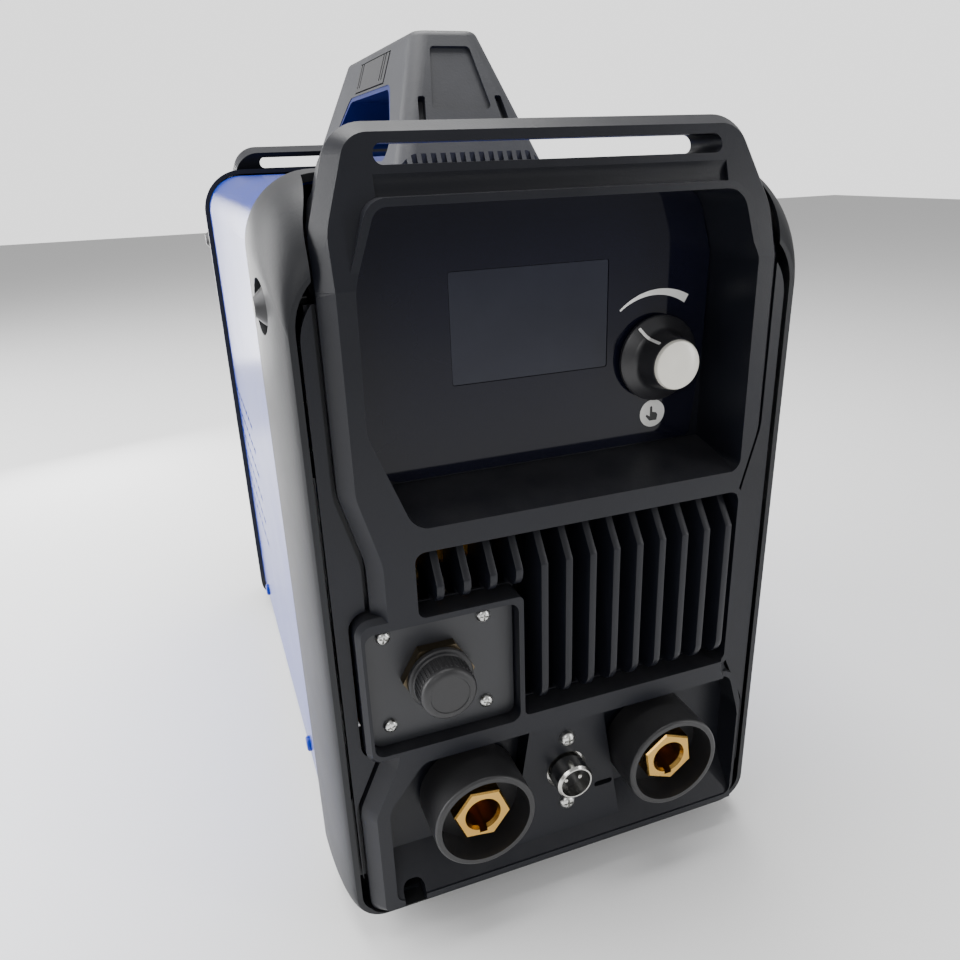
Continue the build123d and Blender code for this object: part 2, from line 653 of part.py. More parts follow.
def fan_screws():
    screws = []
    for x in (-52.5, 52.5):
        for z in (-52.5, 52.5):
            screw = pan_screw(x, FAN_Z + z, 0, 3.8, 2.4, 2.0, 28)
            screws.append(mirror_back(screw))
    return screws


def switch_body():
    """Rocker switch housing, snapped into the rear frame, with two spade terminals."""
    body = block(SWITCH_X - 16, SWITCH_X + 16, DEPTH, DEPTH + 2, SWITCH_Z - 12.6, SWITCH_Z + 12.6)
    body += block(SWITCH_X - 13.8, SWITCH_X + 13.8, DEPTH - 24, DEPTH, SWITCH_Z - 10.4, SWITCH_Z + 10.4)
    body -= block(SWITCH_X - 11.2, SWITCH_X + 11.2, DEPTH - 13, DEPTH + 5, SWITCH_Z - 8, SWITCH_Z + 8)
    for x in (-6, 6):
        body += block(SWITCH_X + x - 0.4, SWITCH_X + x + 0.4, DEPTH - 33, DEPTH - 24, SWITCH_Z - 3, SWITCH_Z + 3)
    return body


def switch_rocker():
    """Rocker that tips about a cross pin at its middle, drawn tipped to its off position."""
    points = [(-7.0, -1.5), (-5.6, 4.0), (0, 2.2), (5.6, 4.0), (7.0, -1.5), (2.6, -6.0), (-2.6, -6.0)]
    plane = Plane(origin=(SWITCH_X - 10.4, FRONT + DEPTH, SWITCH_Z), x_dir=(0, 0, 1), z_dir=(-1, 0, 0))
    face = plane * make_face(Polyline(*points, close=True))
    rocker = extrude(face, amount=-20.8)
    pivot = Axis((SWITCH_X, FRONT + DEPTH - 3.0, SWITCH_Z), (1, 0, 0))
    return rocker.rotate(pivot, -SWITCH_TIP)


def cable_gland():
    """Mains inlet gland with its dome nut; no cord is fitted."""
    body = rod(GLAND_X, GLAND_Z, 9.9, DEPTH - 12, DEPTH + 2)
    body += hexagon(GLAND_X, GLAND_Z, 24, DEPTH, DEPTH + 4)
    dome = rod(GLAND_X, GLAND_Z, 10.8, DEPTH + 4, DEPTH + 16)
    dome = fillet(dome.edges().group_by(Axis.Y)[-1], 4.5)
    return body + dome - rod(GLAND_X, GLAND_Z, 5.2, DEPTH - 20, DEPTH + 30)


def gland_nut():
    return hexagon(GLAND_X, GLAND_Z, 24, DEPTH - 9.0, DEPTH - 4.0) - rod(GLAND_X, GLAND_Z, 9.9, DEPTH - 20, DEPTH)


def gas_inlet():
    """Brass inlet through the rear, a hex body with hose barbs inside and outside."""
    body = rod(INLET_X, INLET_Z, 6.4, DEPTH - 10, DEPTH + 2) + hexagon(INLET_X, INLET_Z, 17, DEPTH, DEPTH + 5)
    body += rod(INLET_X, INLET_Z, 3.4, DEPTH - 24, DEPTH + 16)
    for step in range(2):
        body += Pos(INLET_X, FRONT + DEPTH + 8 + 5 * step, INLET_Z) * Rot(90, 0, 0) * Cone(3.4, 4.6, 5)
        body += Pos(INLET_X, FRONT + DEPTH - 15 - 5 * step, INLET_Z) * Rot(-90, 0, 0) * Cone(3.4, 4.6, 5)
    return body - rod(INLET_X, INLET_Z, 2.2, DEPTH - 40, DEPTH + 30)


# --- inside ----------------------------------------------------------------------
def deck_bracket():
    """Folded steel deck that splits the power stage from the boards above it."""
    deck = block(-82, 82, 70, 300, 178, 179.5)
    for side in (-1, 1):
        deck += block(*sorted((side * 80.5, side * 82)), 70, 300, 14.5, 179.5)
    for side in (-1, 1):
        for window in range(2):
            y = 92 + 106 * window
            deck -= block(*sorted((side * 79, side * 90)), y, y + 84, 56, 150)
    for x in (-70, 70):
        for y in (90, 290):
            deck -= post(x, y, 1.5, 170, 190)
    return deck


def heatsink(side):
    """Extruded heatsink lying on insulating rails, its fins down in the fan's air stream."""
    x0, x1 = sorted((side * 4, side * 78))
    sink = block(x0, x1, 130, 280, 118, 126)
    for index in range(10):
        x = x0 + 1.5 + index * (x1 - x0 - 5) / 9
        sink += block(x, x + 2, 130, 280, 84, 118)
    return sink


def heatsink_rails():
    rails = []
    for x in (-41, 41):
        for y in (138, 250):
            rails.append(block(x - 38, x + 38, y, y + 6, 14.5, 84))
    return rails


def power_board():
    """Power board with its four soldered pillars standing on the deck."""
    board = block(-82, 82, 84, 296, 186, 187.6)
    for x in (-70, 70):
        for y in (90, 290):
            board += post(x, y, 3.2, 179.5, 186)
            board -= post(x, y, 1.7, 170, 190)
    return board


def power_modules():
    """Transistor and rectifier packages screwed to the flat of the heatsinks."""
    modules = []
    for side in (-1, 1):
        for row in range(4):
            y = 140 + 34 * row
            x0, x1 = sorted((side * 20, side * 60))
            modules.append(block(x0, x1, y, y + 22, 126, 132))
    return modules


def capacitors():
    cans = []
    for x in (-50, -15):
        for y in (120, 160):
            can = post(x, y, 15, 187.6, 237)
            cans.append(fillet(can.edges().group_by(Axis.Z)[-1], 2))
    return cans


def board_parts():
    """Relay, filter and auxiliary transformer on the power board."""
    blocks = [block(15, 45, 110, 128, 187.6, 208), block(52, 74, 110, 150, 187.6, 212)]
    blocks.append(block(14, 46, 140, 172, 187.6, 222))
    blocks.append(block(-70, -30, 200, 226, 187.6, 205))
    return blocks


def transformer():
    """Main transformer: ferrite core with two windows, and the winding round its middle leg."""
    core = block(8, 78, 66, 116, 24, 88)
    core -= block(18, 32, 60, 120, 36, 76)
    core -= block(54, 68, 60, 120, 36, 76)
    winding = block(19, 67, 58, 124, 37, 75) - block(32, 54, 66, 116, 24, 88)
    return [core, winding]


def output_choke():
    """Ring choke on the output, its copper turns modelled as one wound sleeve."""
    place = Pos(-44, FRONT + 88, 52) * Rot(90, 0, 0)
    core = place * (Cylinder(26, 26) - Cylinder(15, 40))
    sleeve = place * (Cylinder(30, 34) - Cylinder(11, 50)) - place * (Cylinder(26, 26) - Cylinder(15, 26))
    sleeve -= block(-50, -38, 60, 120, 10, 52)
    return [core, sleeve]


def ignition_coil_core():
    return cross_rod(42, 161, 6.0, -66, -24) + block(-66, -64, 42, 74, 155, 167) + block(-66, -64, 72, 74, 155, 178)


def ignition_coil_winding():
    """Yellow-covered ignition coil close behind the upper left of the vent."""
    return cross_rod(42, 161, 14.0, -62, -28) - cross_rod(42, 161, 6.0, -70, -20)


def gas_valve_body():
    """Solenoid gas valve: a brass block with its two ports, below the coil."""
    body = block(-66, -42, 60, 84, 112, 130)
    body += rod(-54, GAS_Z, 3.4, 48, 60) + rod(-54, GAS_Z, 3.4, 84, 96)
    return body - rod(-54, GAS_Z, 2.0, 40, 100) - post(-54, 72, 4.2, 117.5, 131)


def gas_valve_coil():
    coil = post(-54, 72, 11.5, 130, 154)
    return coil - post(-54, 72, 4.2, 120, 150)


def gas_valve_plunger():
    return post(-54, 72, 4.0, 124, 147)


def hose_front():
    """Gas hose from the valve to the outlet barb."""
    path = Line((GAS_X, FRONT + 16, GAS_Z), (-54, FRONT + 58, GAS_Z))
    ring = Plane(origin=path @ 0, z_dir=path % 0) * (Circle(6.4) - Circle(4.5))
    return sweep(ring, path=path)


def hose_rear():
    """Gas hose along the left side from the inlet barb forward to the valve."""
    points = [(-54, FRONT + 86, GAS_Z), (-54, FRONT + 98, GAS_Z), (-88.2, FRONT + 128, GAS_Z),
              (-88.2, FRONT + 165, GAS_Z), (-88.2, FRONT + 225, INLET_Z), (-88.2, FRONT + 256, INLET_Z),
              (INLET_X, FRONT + 286, INLET_Z), (INLET_X, FRONT + DEPTH - 14, INLET_Z)]
    path = FilletPolyline(*points, radius=12)
    ring = Plane(origin=path @ 0, z_dir=path % 0) * (Circle(5.6) - Circle(4.7))
    return sweep(ring, path=path)


def busbar(side):
    """Copper bar from a socket stud back and up to the power stage."""
    x = side * SOCKET_X
    bar = block(x - 8, x + 8, 30, 33, SOCKET_Z - 12, 104)
    foot = block(x - 8, x + 8, 30, 60, 101, 104)
    rise = block(x - 8, x + 8, 57, 60, 101, 106)
    return bar + foot + rise - rod(x, SOCKET_Z, 5.0, 20, 50)


def busbar_nuts():
    nuts = []
    for side in (-1, 1):
        x = side * SOCKET_X
        nuts.append(hexagon(x, SOCKET_Z, 16, 33, 39) - rod(x, SOCKET_Z, 5.0, 20, 50))
    return nuts


def gas_plate_screws():
    screws = []
    for x in (-1, 1):
        for z in (-1, 1):
            screws.append(pan_screw(GAS_X + x * GAS_SCREW, GAS_Z + z * GAS_SCREW, 5.5, 2.8, 2.0, 1.2, 6))
    return screws


def connector_screws():
    return [pan_screw(0, CONNECTOR_Z + z, 4.0, 3.4, 2.6, 1.6, 10) for z in (-16.5, 16.5)]


def build():
    """Make and write every node."""
    front_shell = bezel_shell()
    save("front_shell", front_shell)
    save("rear_shell", mirror_back(front_shell))
    save("front_frame", front_frame())
    save("front_fascia", fascia(frame_outline()))
    save("rear_frame", rear_frame())
    save("front_grille", front_grille())
    save("shell_screws", side_screws(lambda s: s) + side_screws(mirror_back))
    save("display_panel", display_panel())
    save("lcd_module", lcd_module())
    save("control_board", control_board())
    save("encoder_body", encoder_body())
    save("encoder_nut", encoder_nut())
    save("encoder_plunger", encoder_plunger())
    save("knob_skirt", knob_skirt())
    save("knob_cap", knob_cap())
    save("knob_shaft", knob_shaft())
    turns = ((-SOCKET_X, 8), (SOCKET_X, 22))
    save("socket_collars", [socket_collar(x, turn) for x, turn in turns])
    save("socket_inserts", [socket_insert(x, turn) for x, turn in turns])
    save("socket_nuts", [socket_nut(x) for x, turn in turns] + busbar_nuts())
    save("busbars", [busbar(-1), busbar(1)])
    save("connector_shell", connector_shell())
    save("connector_insulator", connector_insulator())
    save("connector_pins", connector_pins())
    save("connector_screws", connector_screws())
    save("gas_plate", gas_plate())
    save("gas_plate_screws", gas_plate_screws())
    save("gas_fitting", gas_fitting())
    save("gas_nut", gas_nut())
    save("gas_cap", gas_cap())
    save("cover", cover())
    save("cover_screws", cover_screws())
    save("base_pan", base_pan())
    save("feet", feet())
    save("foot_screws", foot_screws())
    save("handle_body", handle_body())
    save("handle_liner", handle_liner())
    save("grip_pads", grip_pads())
    save("handle_screws", handle_screws())
    save("fan_frame", fan_frame())
    save("fan_rotor", fan_rotor())
    save("fan_screws", fan_screws())
    save("switch_body", switch_body())
    save("switch_rocker", switch_rocker())
    save("cable_gland", cable_gland())
    save("gland_nut", gland_nut())
    save("gas_inlet", gas_inlet())
    save("deck_bracket", deck_bracket())
    save("heatsinks", [heatsink(-1), heatsink(1)])
    save("heatsink_rails", heatsink_rails())
    save("power_modules", power_modules())
    save("power_board", power_board())
    save("capacitors", capacitors())
    save("board_parts", board_parts())
    save("transformer", transformer())
    save("output_choke", output_choke())
    save("ignition_coil", ignition_coil_winding() + ignition_coil_core())
    save("gas_valve_body", gas_valve_body())
    save("gas_valve_coil", gas_valve_coil())
    save("gas_valve_plunger", gas_valve_plunger())
    save("gas_hoses", [hose_front(), hose_rear()])


build()
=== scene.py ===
import bpy
import bmesh
import math
from mathutils import Euler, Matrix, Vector


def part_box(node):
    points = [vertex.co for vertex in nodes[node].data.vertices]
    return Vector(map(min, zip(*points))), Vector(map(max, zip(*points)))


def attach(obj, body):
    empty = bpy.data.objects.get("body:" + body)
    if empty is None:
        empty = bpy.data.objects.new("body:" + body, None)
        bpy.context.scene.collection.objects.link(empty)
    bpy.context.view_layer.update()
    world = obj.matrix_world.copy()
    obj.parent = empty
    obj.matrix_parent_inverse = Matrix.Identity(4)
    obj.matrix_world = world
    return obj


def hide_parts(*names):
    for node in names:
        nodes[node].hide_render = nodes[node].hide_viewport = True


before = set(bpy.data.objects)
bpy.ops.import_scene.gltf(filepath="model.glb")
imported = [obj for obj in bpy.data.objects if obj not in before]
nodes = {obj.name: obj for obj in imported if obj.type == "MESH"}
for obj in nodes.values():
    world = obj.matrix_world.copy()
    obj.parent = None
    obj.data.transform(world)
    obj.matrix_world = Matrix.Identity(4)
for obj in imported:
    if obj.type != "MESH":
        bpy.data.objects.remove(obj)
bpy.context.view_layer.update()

# --- Floor, light and camera -------------------------------------------------------
# The machine stands on a pale seamless floor under large soft lamps. The white card
# beside its left flank is what the glossy cover shows along its middle.

floor_mesh = bpy.data.meshes.new("floor")
floor_mesh.from_pydata([(-4, -4, 0), (4, -4, 0), (4, 4, 0), (-4, 4, 0)], [], [(0, 1, 2, 3)])
floor = bpy.data.objects.new("floor", floor_mesh)
bpy.context.scene.collection.objects.link(floor)
floor_material = bpy.data.materials.new("pale_floor")
floor_material.use_nodes = True
floor_shader = floor_material.node_tree.nodes["Principled BSDF"]
floor_shader.inputs["Base Color"].default_value = (0.93, 0.93, 0.93, 1)
floor_shader.inputs["Roughness"].default_value = 0.8
floor_mesh.materials.append(floor_material)

sky = bpy.data.worlds.new("studio")
sky.use_nodes = True
glow = sky.node_tree.nodes["Background"]
glow.inputs["Color"].default_value = (1, 1, 1, 1)
seen = sky.node_tree.nodes.new("ShaderNodeLightPath")
strength = sky.node_tree.nodes.new("ShaderNodeMapRange")
strength.inputs["To Min"].default_value = 0.5
strength.inputs["To Max"].default_value = 1.8
sky.node_tree.links.new(seen.outputs["Is Camera Ray"], strength.inputs["Value"])
sky.node_tree.links.new(strength.outputs["Result"], glow.inputs["Strength"])
bpy.context.scene.world = sky


def soft_lamp(name, place, aim, width, height, watts):
    """Rectangular lamp that faces a point and stays out of the picture."""
    data = bpy.data.lights.new(name, "AREA")
    data.shape = "RECTANGLE"
    data.size = width
    data.size_y = height
    data.energy = watts
    lamp = bpy.data.objects.new(name, data)
    lamp.location = place
    lamp.rotation_euler = (Vector(aim) - Vector(place)).to_track_quat("-Z", "Y").to_euler()
    lamp.visible_camera = False
    bpy.context.scene.collection.objects.link(lamp)


soft_lamp("left_window", (-1.2, 0.45, 0.60), (0, 0, 0.18), 1.3, 1.1, 34)
soft_lamp("top_box", (0.0, 0.15, 1.3), (0, 0, 0.1), 0.9, 0.9, 22)
soft_lamp("front_fill", (-0.8, -1.5, 1.0), (0, -0.1, 0.15), 0.6, 0.6, 5)
soft_lamp("right_strip", (0.75, -0.85, 0.35), (0, -0.15, 0.2), 0.12, 0.8, 3)
soft_lamp("side_card", (-0.26, 0.55, 0.21), (-0.12, 0.05, 0.17), 0.20, 0.26, 1.4)

camera = bpy.data.objects.new("camera", bpy.data.cameras.new("camera"))
camera.data.lens = 30.17
camera.data.sensor_width = 36
camera.data.clip_start = 0.01
camera.location = (-0.121, -0.4092, 0.297)
camera.rotation_euler = Euler((math.radians(68.241), math.radians(1.947), math.radians(-20.55)))
bpy.context.scene.collection.objects.link(camera)
bpy.context.scene.camera = camera

# --- Moulded plastic of the frames -------------------------------------------------
# The raised front and rear frames and the fascia strips are injection moulded in black
# ABS with a fine spark-eroded grain. They're screwed to the shells from behind.


def node_group(name, inputs, outputs):
    """Empty shader group with named sockets, given as (name, type, default)."""
    group = bpy.data.node_groups.new(name, "ShaderNodeTree")
    for label, kind, value in inputs:
        socket = group.interface.new_socket(label, in_out="INPUT", socket_type=kind)
        socket.default_value = value
    for label, kind in outputs:
        group.interface.new_socket(label, in_out="OUTPUT", socket_type=kind)
    return group, group.nodes.new("NodeGroupInput"), group.nodes.new("NodeGroupOutput")


def add(tree, kind, **settings):
    """New node; a setting is a property, or the value of an input when it names one."""
    node = tree.nodes.new(kind)
    for key, value in settings.items():
        if hasattr(node, key):
            setattr(node, key, value)
        else:
            node.inputs[key.replace("_", " ")].default_value = value
    return node


def mixed(tree, factor, first, second):
    """Colour mix of two values or sockets by a factor socket."""
    node = tree.nodes.new("ShaderNodeMix")
    node.data_type = "RGBA"
    tree.links.new(factor, node.inputs[0])
    for place, value in ((6, first), (7, second)):
        if isinstance(value, bpy.types.NodeSocket):
            tree.links.new(value, node.inputs[place])
        else:
            node.inputs[place].default_value = value
    return node.outputs[2]


# Fine grain: two sizes of noise, for the skin of a moulding, powder coat or rubber.
grain, grain_in, grain_out = node_group(
    "fine_grain",
    [("Scale", "NodeSocketFloat", 900.0), ("Coarse", "NodeSocketFloat", 0.3)],
    [("Height", "NodeSocketFloat"), ("Tone", "NodeSocketFloat")],
)
place = add(grain, "ShaderNodeTexCoord")
small = add(grain, "ShaderNodeTexNoise", Detail=2.0, Roughness=0.6)
large = add(grain, "ShaderNodeTexNoise", Scale=26.0, Detail=3.0)
grain.links.new(place.outputs["Object"], small.inputs["Vector"])
grain.links.new(place.outputs["Object"], large.inputs["Vector"])
grain.links.new(grain_in.outputs["Scale"], small.inputs["Scale"])
blend = add(grain, "ShaderNodeMix")
grain.links.new(grain_in.outputs["Coarse"], blend.inputs[0])
grain.links.new(small.outputs["Fac"], blend.inputs[2])
grain.links.new(large.outputs["Fac"], blend.inputs[3])
grain.links.new(blend.outputs[0], grain_out.inputs["Height"])
grain.links.new(large.outputs["Fac"], grain_out.inputs["Tone"])

# Settled dust: more on faces that look up, broken up by noise.
dust, dust_in, dust_out = node_group(
    "settled_dust", [("Amount", "NodeSocketFloat", 0.1)], [("Mask", "NodeSocketFloat")]
)
facing = add(dust, "ShaderNodeNewGeometry")
upward = add(dust, "ShaderNodeSeparateXYZ")
dust.links.new(facing.outputs["Normal"], upward.inputs[0])
rise = add(dust, "ShaderNodeMapRange")
rise.inputs["From Min"].default_value = 0.15
rise.inputs["From Max"].default_value = 1.0
dust.links.new(upward.outputs["Z"], rise.inputs["Value"])
where = add(dust, "ShaderNodeTexCoord")
patch = add(dust, "ShaderNodeTexNoise", Scale=60.0, Detail=6.0, Roughness=0.7)
dust.links.new(where.outputs["Object"], patch.inputs["Vector"])
specks = add(dust, "ShaderNodeMath", operation="MULTIPLY")
dust.links.new(rise.outputs["Result"], specks.inputs[0])
dust.links.new(patch.outputs["Fac"], specks.inputs[1])
share = add(dust, "ShaderNodeMath", operation="MULTIPLY")
dust.links.new(specks.outputs[0], share.inputs[0])
dust.links.new(dust_in.outputs["Amount"], share.inputs[1])
dust.links.new(share.outputs[0], dust_out.inputs["Mask"])

# Drawn lines: noise stretched along one direction, for brushed, rolled or turned metal.
lines, lines_in, lines_out = node_group(
    "drawn_lines",
    [("Stretch", "NodeSocketVector", (40.0, 900.0, 900.0))],
    [("Height", "NodeSocketFloat"), ("Tone", "NodeSocketFloat")],
)
along = add(lines, "ShaderNodeTexCoord")
stretch = add(lines, "ShaderNodeVectorMath", operation="MULTIPLY")
lines.links.new(along.outputs["Object"], stretch.inputs[0])
lines.links.new(lines_in.outputs["Stretch"], stretch.inputs[1])
streak = add(lines, "ShaderNodeTexNoise", Scale=1.0, Detail=4.0)
lines.links.new(stretch.outputs[0], streak.inputs["Vector"])
stain = add(lines, "ShaderNodeTexNoise", Scale=45.0, Detail=3.0)
lines.links.new(along.outputs["Object"], stain.inputs["Vector"])
lines.links.new(streak.outputs["Fac"], lines_out.inputs["Height"])
lines.links.new(stain.outputs["Fac"], lines_out.inputs["Tone"])


def surface(name, dark, light, rough, metal=0.0, pattern="grain", scale=900.0, depth=0.05,
            coarse=0.3, dusty=0.0, coat=0.0, specular=0.5, stretch=(40.0, 900.0, 900.0)):
    """Procedural material: a pattern group varies colour, roughness and bump."""
    made = bpy.data.materials.new(name)
    made.use_nodes = True
    tree = made.node_tree
    shader = tree.nodes["Principled BSDF"]
    shader.inputs["Metallic"].default_value = metal
    shader.inputs["Coat Weight"].default_value = coat
    shader.inputs["Coat Roughness"].default_value = 0.06
    shader.inputs["Specular IOR Level"].default_value = specular
    skin = tree.nodes.new("ShaderNodeGroup")
    skin.node_tree = grain if pattern == "grain" else lines
    if pattern == "grain":
        skin.inputs["Scale"].default_value = scale
        skin.inputs["Coarse"].default_value = coarse
    else:
        skin.inputs["Stretch"].default_value = stretch
    colour = mixed(tree, skin.outputs["Tone"], (*dark, 1), (*light, 1))
    if dusty:
        film = tree.nodes.new("ShaderNodeGroup")
        film.node_tree = dust
        film.inputs["Amount"].default_value = dusty
        colour = mixed(tree, film.outputs["Mask"], colour, (0.33, 0.32, 0.31, 1))
    tree.links.new(colour, shader.inputs["Base Color"])
    gloss = add(tree, "ShaderNodeMapRange")
    gloss.inputs["To Min"].default_value = rough * 0.82
    gloss.inputs["To Max"].default_value = min(1.0, rough * 1.18)
    tree.links.new(skin.outputs["Tone"], gloss.inputs["Value"])
    tree.links.new(gloss.outputs["Result"], shader.inputs["Roughness"])
    bump = add(tree, "ShaderNodeBump", Strength=depth, Distance=0.0004)
    tree.links.new(skin.outputs["Height"], bump.inputs["Height"])
    tree.links.new(bump.outputs["Normal"], shader.inputs["Normal"])
    return made


def paint(material, *names):
    """Give CAD nodes a material in place of the plain one they came with."""
    for name in names:
        data = nodes[name].data
        data.materials.clear()
        data.materials.append(material)


def link(name, mesh):
    """Object at the origin that shows a mesh, shaded smooth up to sharp edges."""
    mesh.shade_smooth()
    mesh.set_sharp_from_angle(angle=math.radians(34))
    piece = bpy.data.objects.new(name, mesh)
    bpy.context.scene.collection.objects.link(piece)
    return piece


frame_black = surface("frame_black", (0.004, 0.0045, 0.0075), (0.009, 0.010, 0.0150), 0.36,
                      scale=1300, depth=0.12, dusty=0.08, specular=0.28)
paint(frame_black, "front_frame", "front_fascia", "rear_frame")

# --- Bezel shells ------------------------------------------------------------------
# The wraps round both ends are the same ABS in a slightly lighter batch, with a coarser
# grain that the hands touch. One domed screw on each side holds a shell to the cover.

shell_black = surface("shell_black", (0.006, 0.0065, 0.0085), (0.012, 0.013, 0.016), 0.44,
                      scale=1000, depth=0.16, dusty=0.10, specular=0.3)
paint(shell_black, "front_shell", "rear_shell")

# --- Cover and base pan ------------------------------------------------------------
# The cover is one folded steel sheet, powder coated in a deep glossy blue. The pan under
# it is left in zinc. Four small painted screws close the two together.

cover_blue = surface("cover_blue", (0.002, 0.020, 0.26), (0.006, 0.040, 0.40), 0.22,
                     scale=420, depth=0.04, coarse=0.15, specular=0.22, dusty=0.03)
zinc_sheet = surface("zinc_sheet", (0.42, 0.43, 0.44), (0.60, 0.61, 0.62), 0.38, metal=1.0,
                     pattern="lines", depth=0.1, stretch=(500.0, 60.0, 500.0))
paint(cover_blue, "cover", "cover_screws")
paint(zinc_sheet, "base_pan", "deck_bracket")

# --- Vent fins ---------------------------------------------------------------------
# The vent is one louvre insert moulded in the frame's black ABS, clipped in from behind:
# a rim, nine full fins and four short ones over the gas plate, each with rounded edges.

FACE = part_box("front_frame")[0].y
FULL_FINS, SHORT_FINS = 9, 4
FIN_PITCH = 0.01
FIN_EDGE = 0.00045


def middle_of(node):
    """Centre of a CAD node in x and z, for round things whose axis runs along y."""
    low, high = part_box(node)
    return (low.x + high.x) / 2, (low.z + high.z) / 2


def round_edges(form, width):
    """Round off the sharp edges of a closed form."""
    bmesh.ops.recalc_face_normals(form, faces=form.faces)
    edges = [e for e in form.edges if e.calc_face_angle(0.0) > 0.4]
    bmesh.ops.bevel(form, geom=edges, offset=width, segments=2, profile=0.5, affect="EDGES")


def prism(name, outline, axis, start, end, round_off=0.0):
    """Closed outline in the two other axes, made solid from start to end along axis."""
    form = bmesh.new()
    turn = {"x": lambda u, v, w: (w, u, v), "y": lambda u, v, w: (u, w, v)}[axis]
    near = [form.verts.new(turn(u, v, start)) for u, v in outline]
    far = [form.verts.new(turn(u, v, end)) for u, v in outline]
    form.faces.new(near)
    form.faces.new(far[::-1])
    for i in range(len(outline)):
        j = (i + 1) % len(outline)
        form.faces.new((near[i], far[i], far[j], near[j]))
    bmesh.ops.recalc_face_normals(form, faces=form.faces)
    if round_off:
        round_edges(form, round_off)
    mesh = bpy.data.meshes.new(name)
    form.to_mesh(mesh)
    form.free()
    return mesh


def turned(name, profile, x, z, steps=64):
    """Shape turned about a line along y. The profile of (radius, y) starts and ends on
    that line, or ends where it started and makes a ring."""
    form = bmesh.new()
    rings = []
    is_ring = profile[0] == profile[-1]
    for radius, y in profile[:-1] if is_ring else profile:
        if radius == 0:
            rings.append([form.verts.new((x, y, z))])
            continue
        angles = [2 * math.pi * i / steps for i in range(steps)]
        around = [(x + radius * math.cos(a), y, z + radius * math.sin(a)) for a in angles]
        rings.append([form.verts.new(point) for point in around])
    followers = rings[1:] + rings[:1] if is_ring else rings[1:]
    for one, two in zip(rings, followers):
        for i in range(steps):
            j = (i + 1) % steps
            corners = [one[i % len(one)], one[j % len(one)], two[j % len(two)], two[i % len(two)]]
            corners = list(dict.fromkeys(corners))
            if len(corners) > 2:
                form.faces.new(corners)
    bmesh.ops.recalc_face_normals(form, faces=form.faces)
    mesh = bpy.data.meshes.new(name)
    form.to_mesh(mesh)
    form.free()
    return mesh


def placing_tree(name, inputs, points):
    """Geometry Nodes tree that puts the object's own mesh on points and joins the result."""
    tree = bpy.data.node_groups.new(name, "GeometryNodeTree")
    tree.interface.new_socket("Part", in_out="INPUT", socket_type="NodeSocketGeometry")
    for label, kind, value in inputs:
        tree.interface.new_socket(label, in_out="INPUT", socket_type=kind).default_value = value
    tree.interface.new_socket("Finish", in_out="INPUT", socket_type="NodeSocketMaterial")
    tree.interface.new_socket("Result", in_out="OUTPUT", socket_type="NodeSocketGeometry")
    given = tree.nodes.new("NodeGroupInput")
    result = tree.nodes.new("NodeGroupOutput")
    spread = tree.nodes.new("GeometryNodeInstanceOnPoints")
    tree.links.new(given.outputs["Part"], spread.inputs["Instance"])
    points(tree, given, spread)
    joined = tree.nodes.new("GeometryNodeRealizeInstances")
    finish = tree.nodes.new("GeometryNodeSetMaterial")
    tree.links.new(spread.outputs["Instances"], joined.inputs[0])
    tree.links.new(joined.outputs[0], finish.inputs["Geometry"])
    tree.links.new(given.outputs["Finish"], finish.inputs["Material"])
    tree.links.new(finish.outputs["Geometry"], result.inputs["Result"])
    return tree


def row_points(tree, given, spread):
    line = tree.nodes.new("GeometryNodeMeshLine")
    tree.links.new(given.outputs["Count"], line.inputs["Count"])
    tree.links.new(given.outputs["Step"], line.inputs["Offset"])
    tree.links.new(line.outputs[0], spread.inputs["Points"])


in_a_row = placing_tree(
    "in_a_row", [("Count", "NodeSocketInt", 4), ("Step", "NodeSocketVector", (0.01, 0.0, 0.0))], row_points
)


def laid_out(name, mesh, tree, material, **values):
    """Run a placing tree on one mesh and keep the result as a plain object."""
    source = bpy.data.objects.new(name + "_part", mesh)
    bpy.context.scene.collection.objects.link(source)
    modifier = source.modifiers.new("layout", "NODES")
    modifier.node_group = tree
    values["Finish"] = material
    for item in tree.interface.items_tree:
        if item.in_out == "INPUT" and item.name in values:
            modifier[item.identifier] = values[item.name]
    source.update_tag()
    view = bpy.context.evaluated_depsgraph_get()
    result = bpy.data.meshes.new_from_object(source.evaluated_get(view), depsgraph=view)
    bpy.data.objects.remove(source)
    result.name = name
    return link(name, result)


def fin_outline(bottom, root, bend):
    """Side view of a fin in y and z: sloped top, straight nose, rounded lower end, root."""
    outline = [(0.0238, 0.1760), (0.0116, 0.1760), (0.0116, 0.1722), (0.009, 0.1718), (-0.0004, 0.159)]
    for i in range(7):
        angle = math.pi + (math.pi / 2) * i / 6
        outline.append((bend - 0.0004 + bend * math.cos(angle), bottom + bend + bend * math.sin(angle)))
    outline += [(0.0116, bottom), (0.0116, root), (0.0238, root)]
    return [(FACE + depth, z) for depth, z in outline]


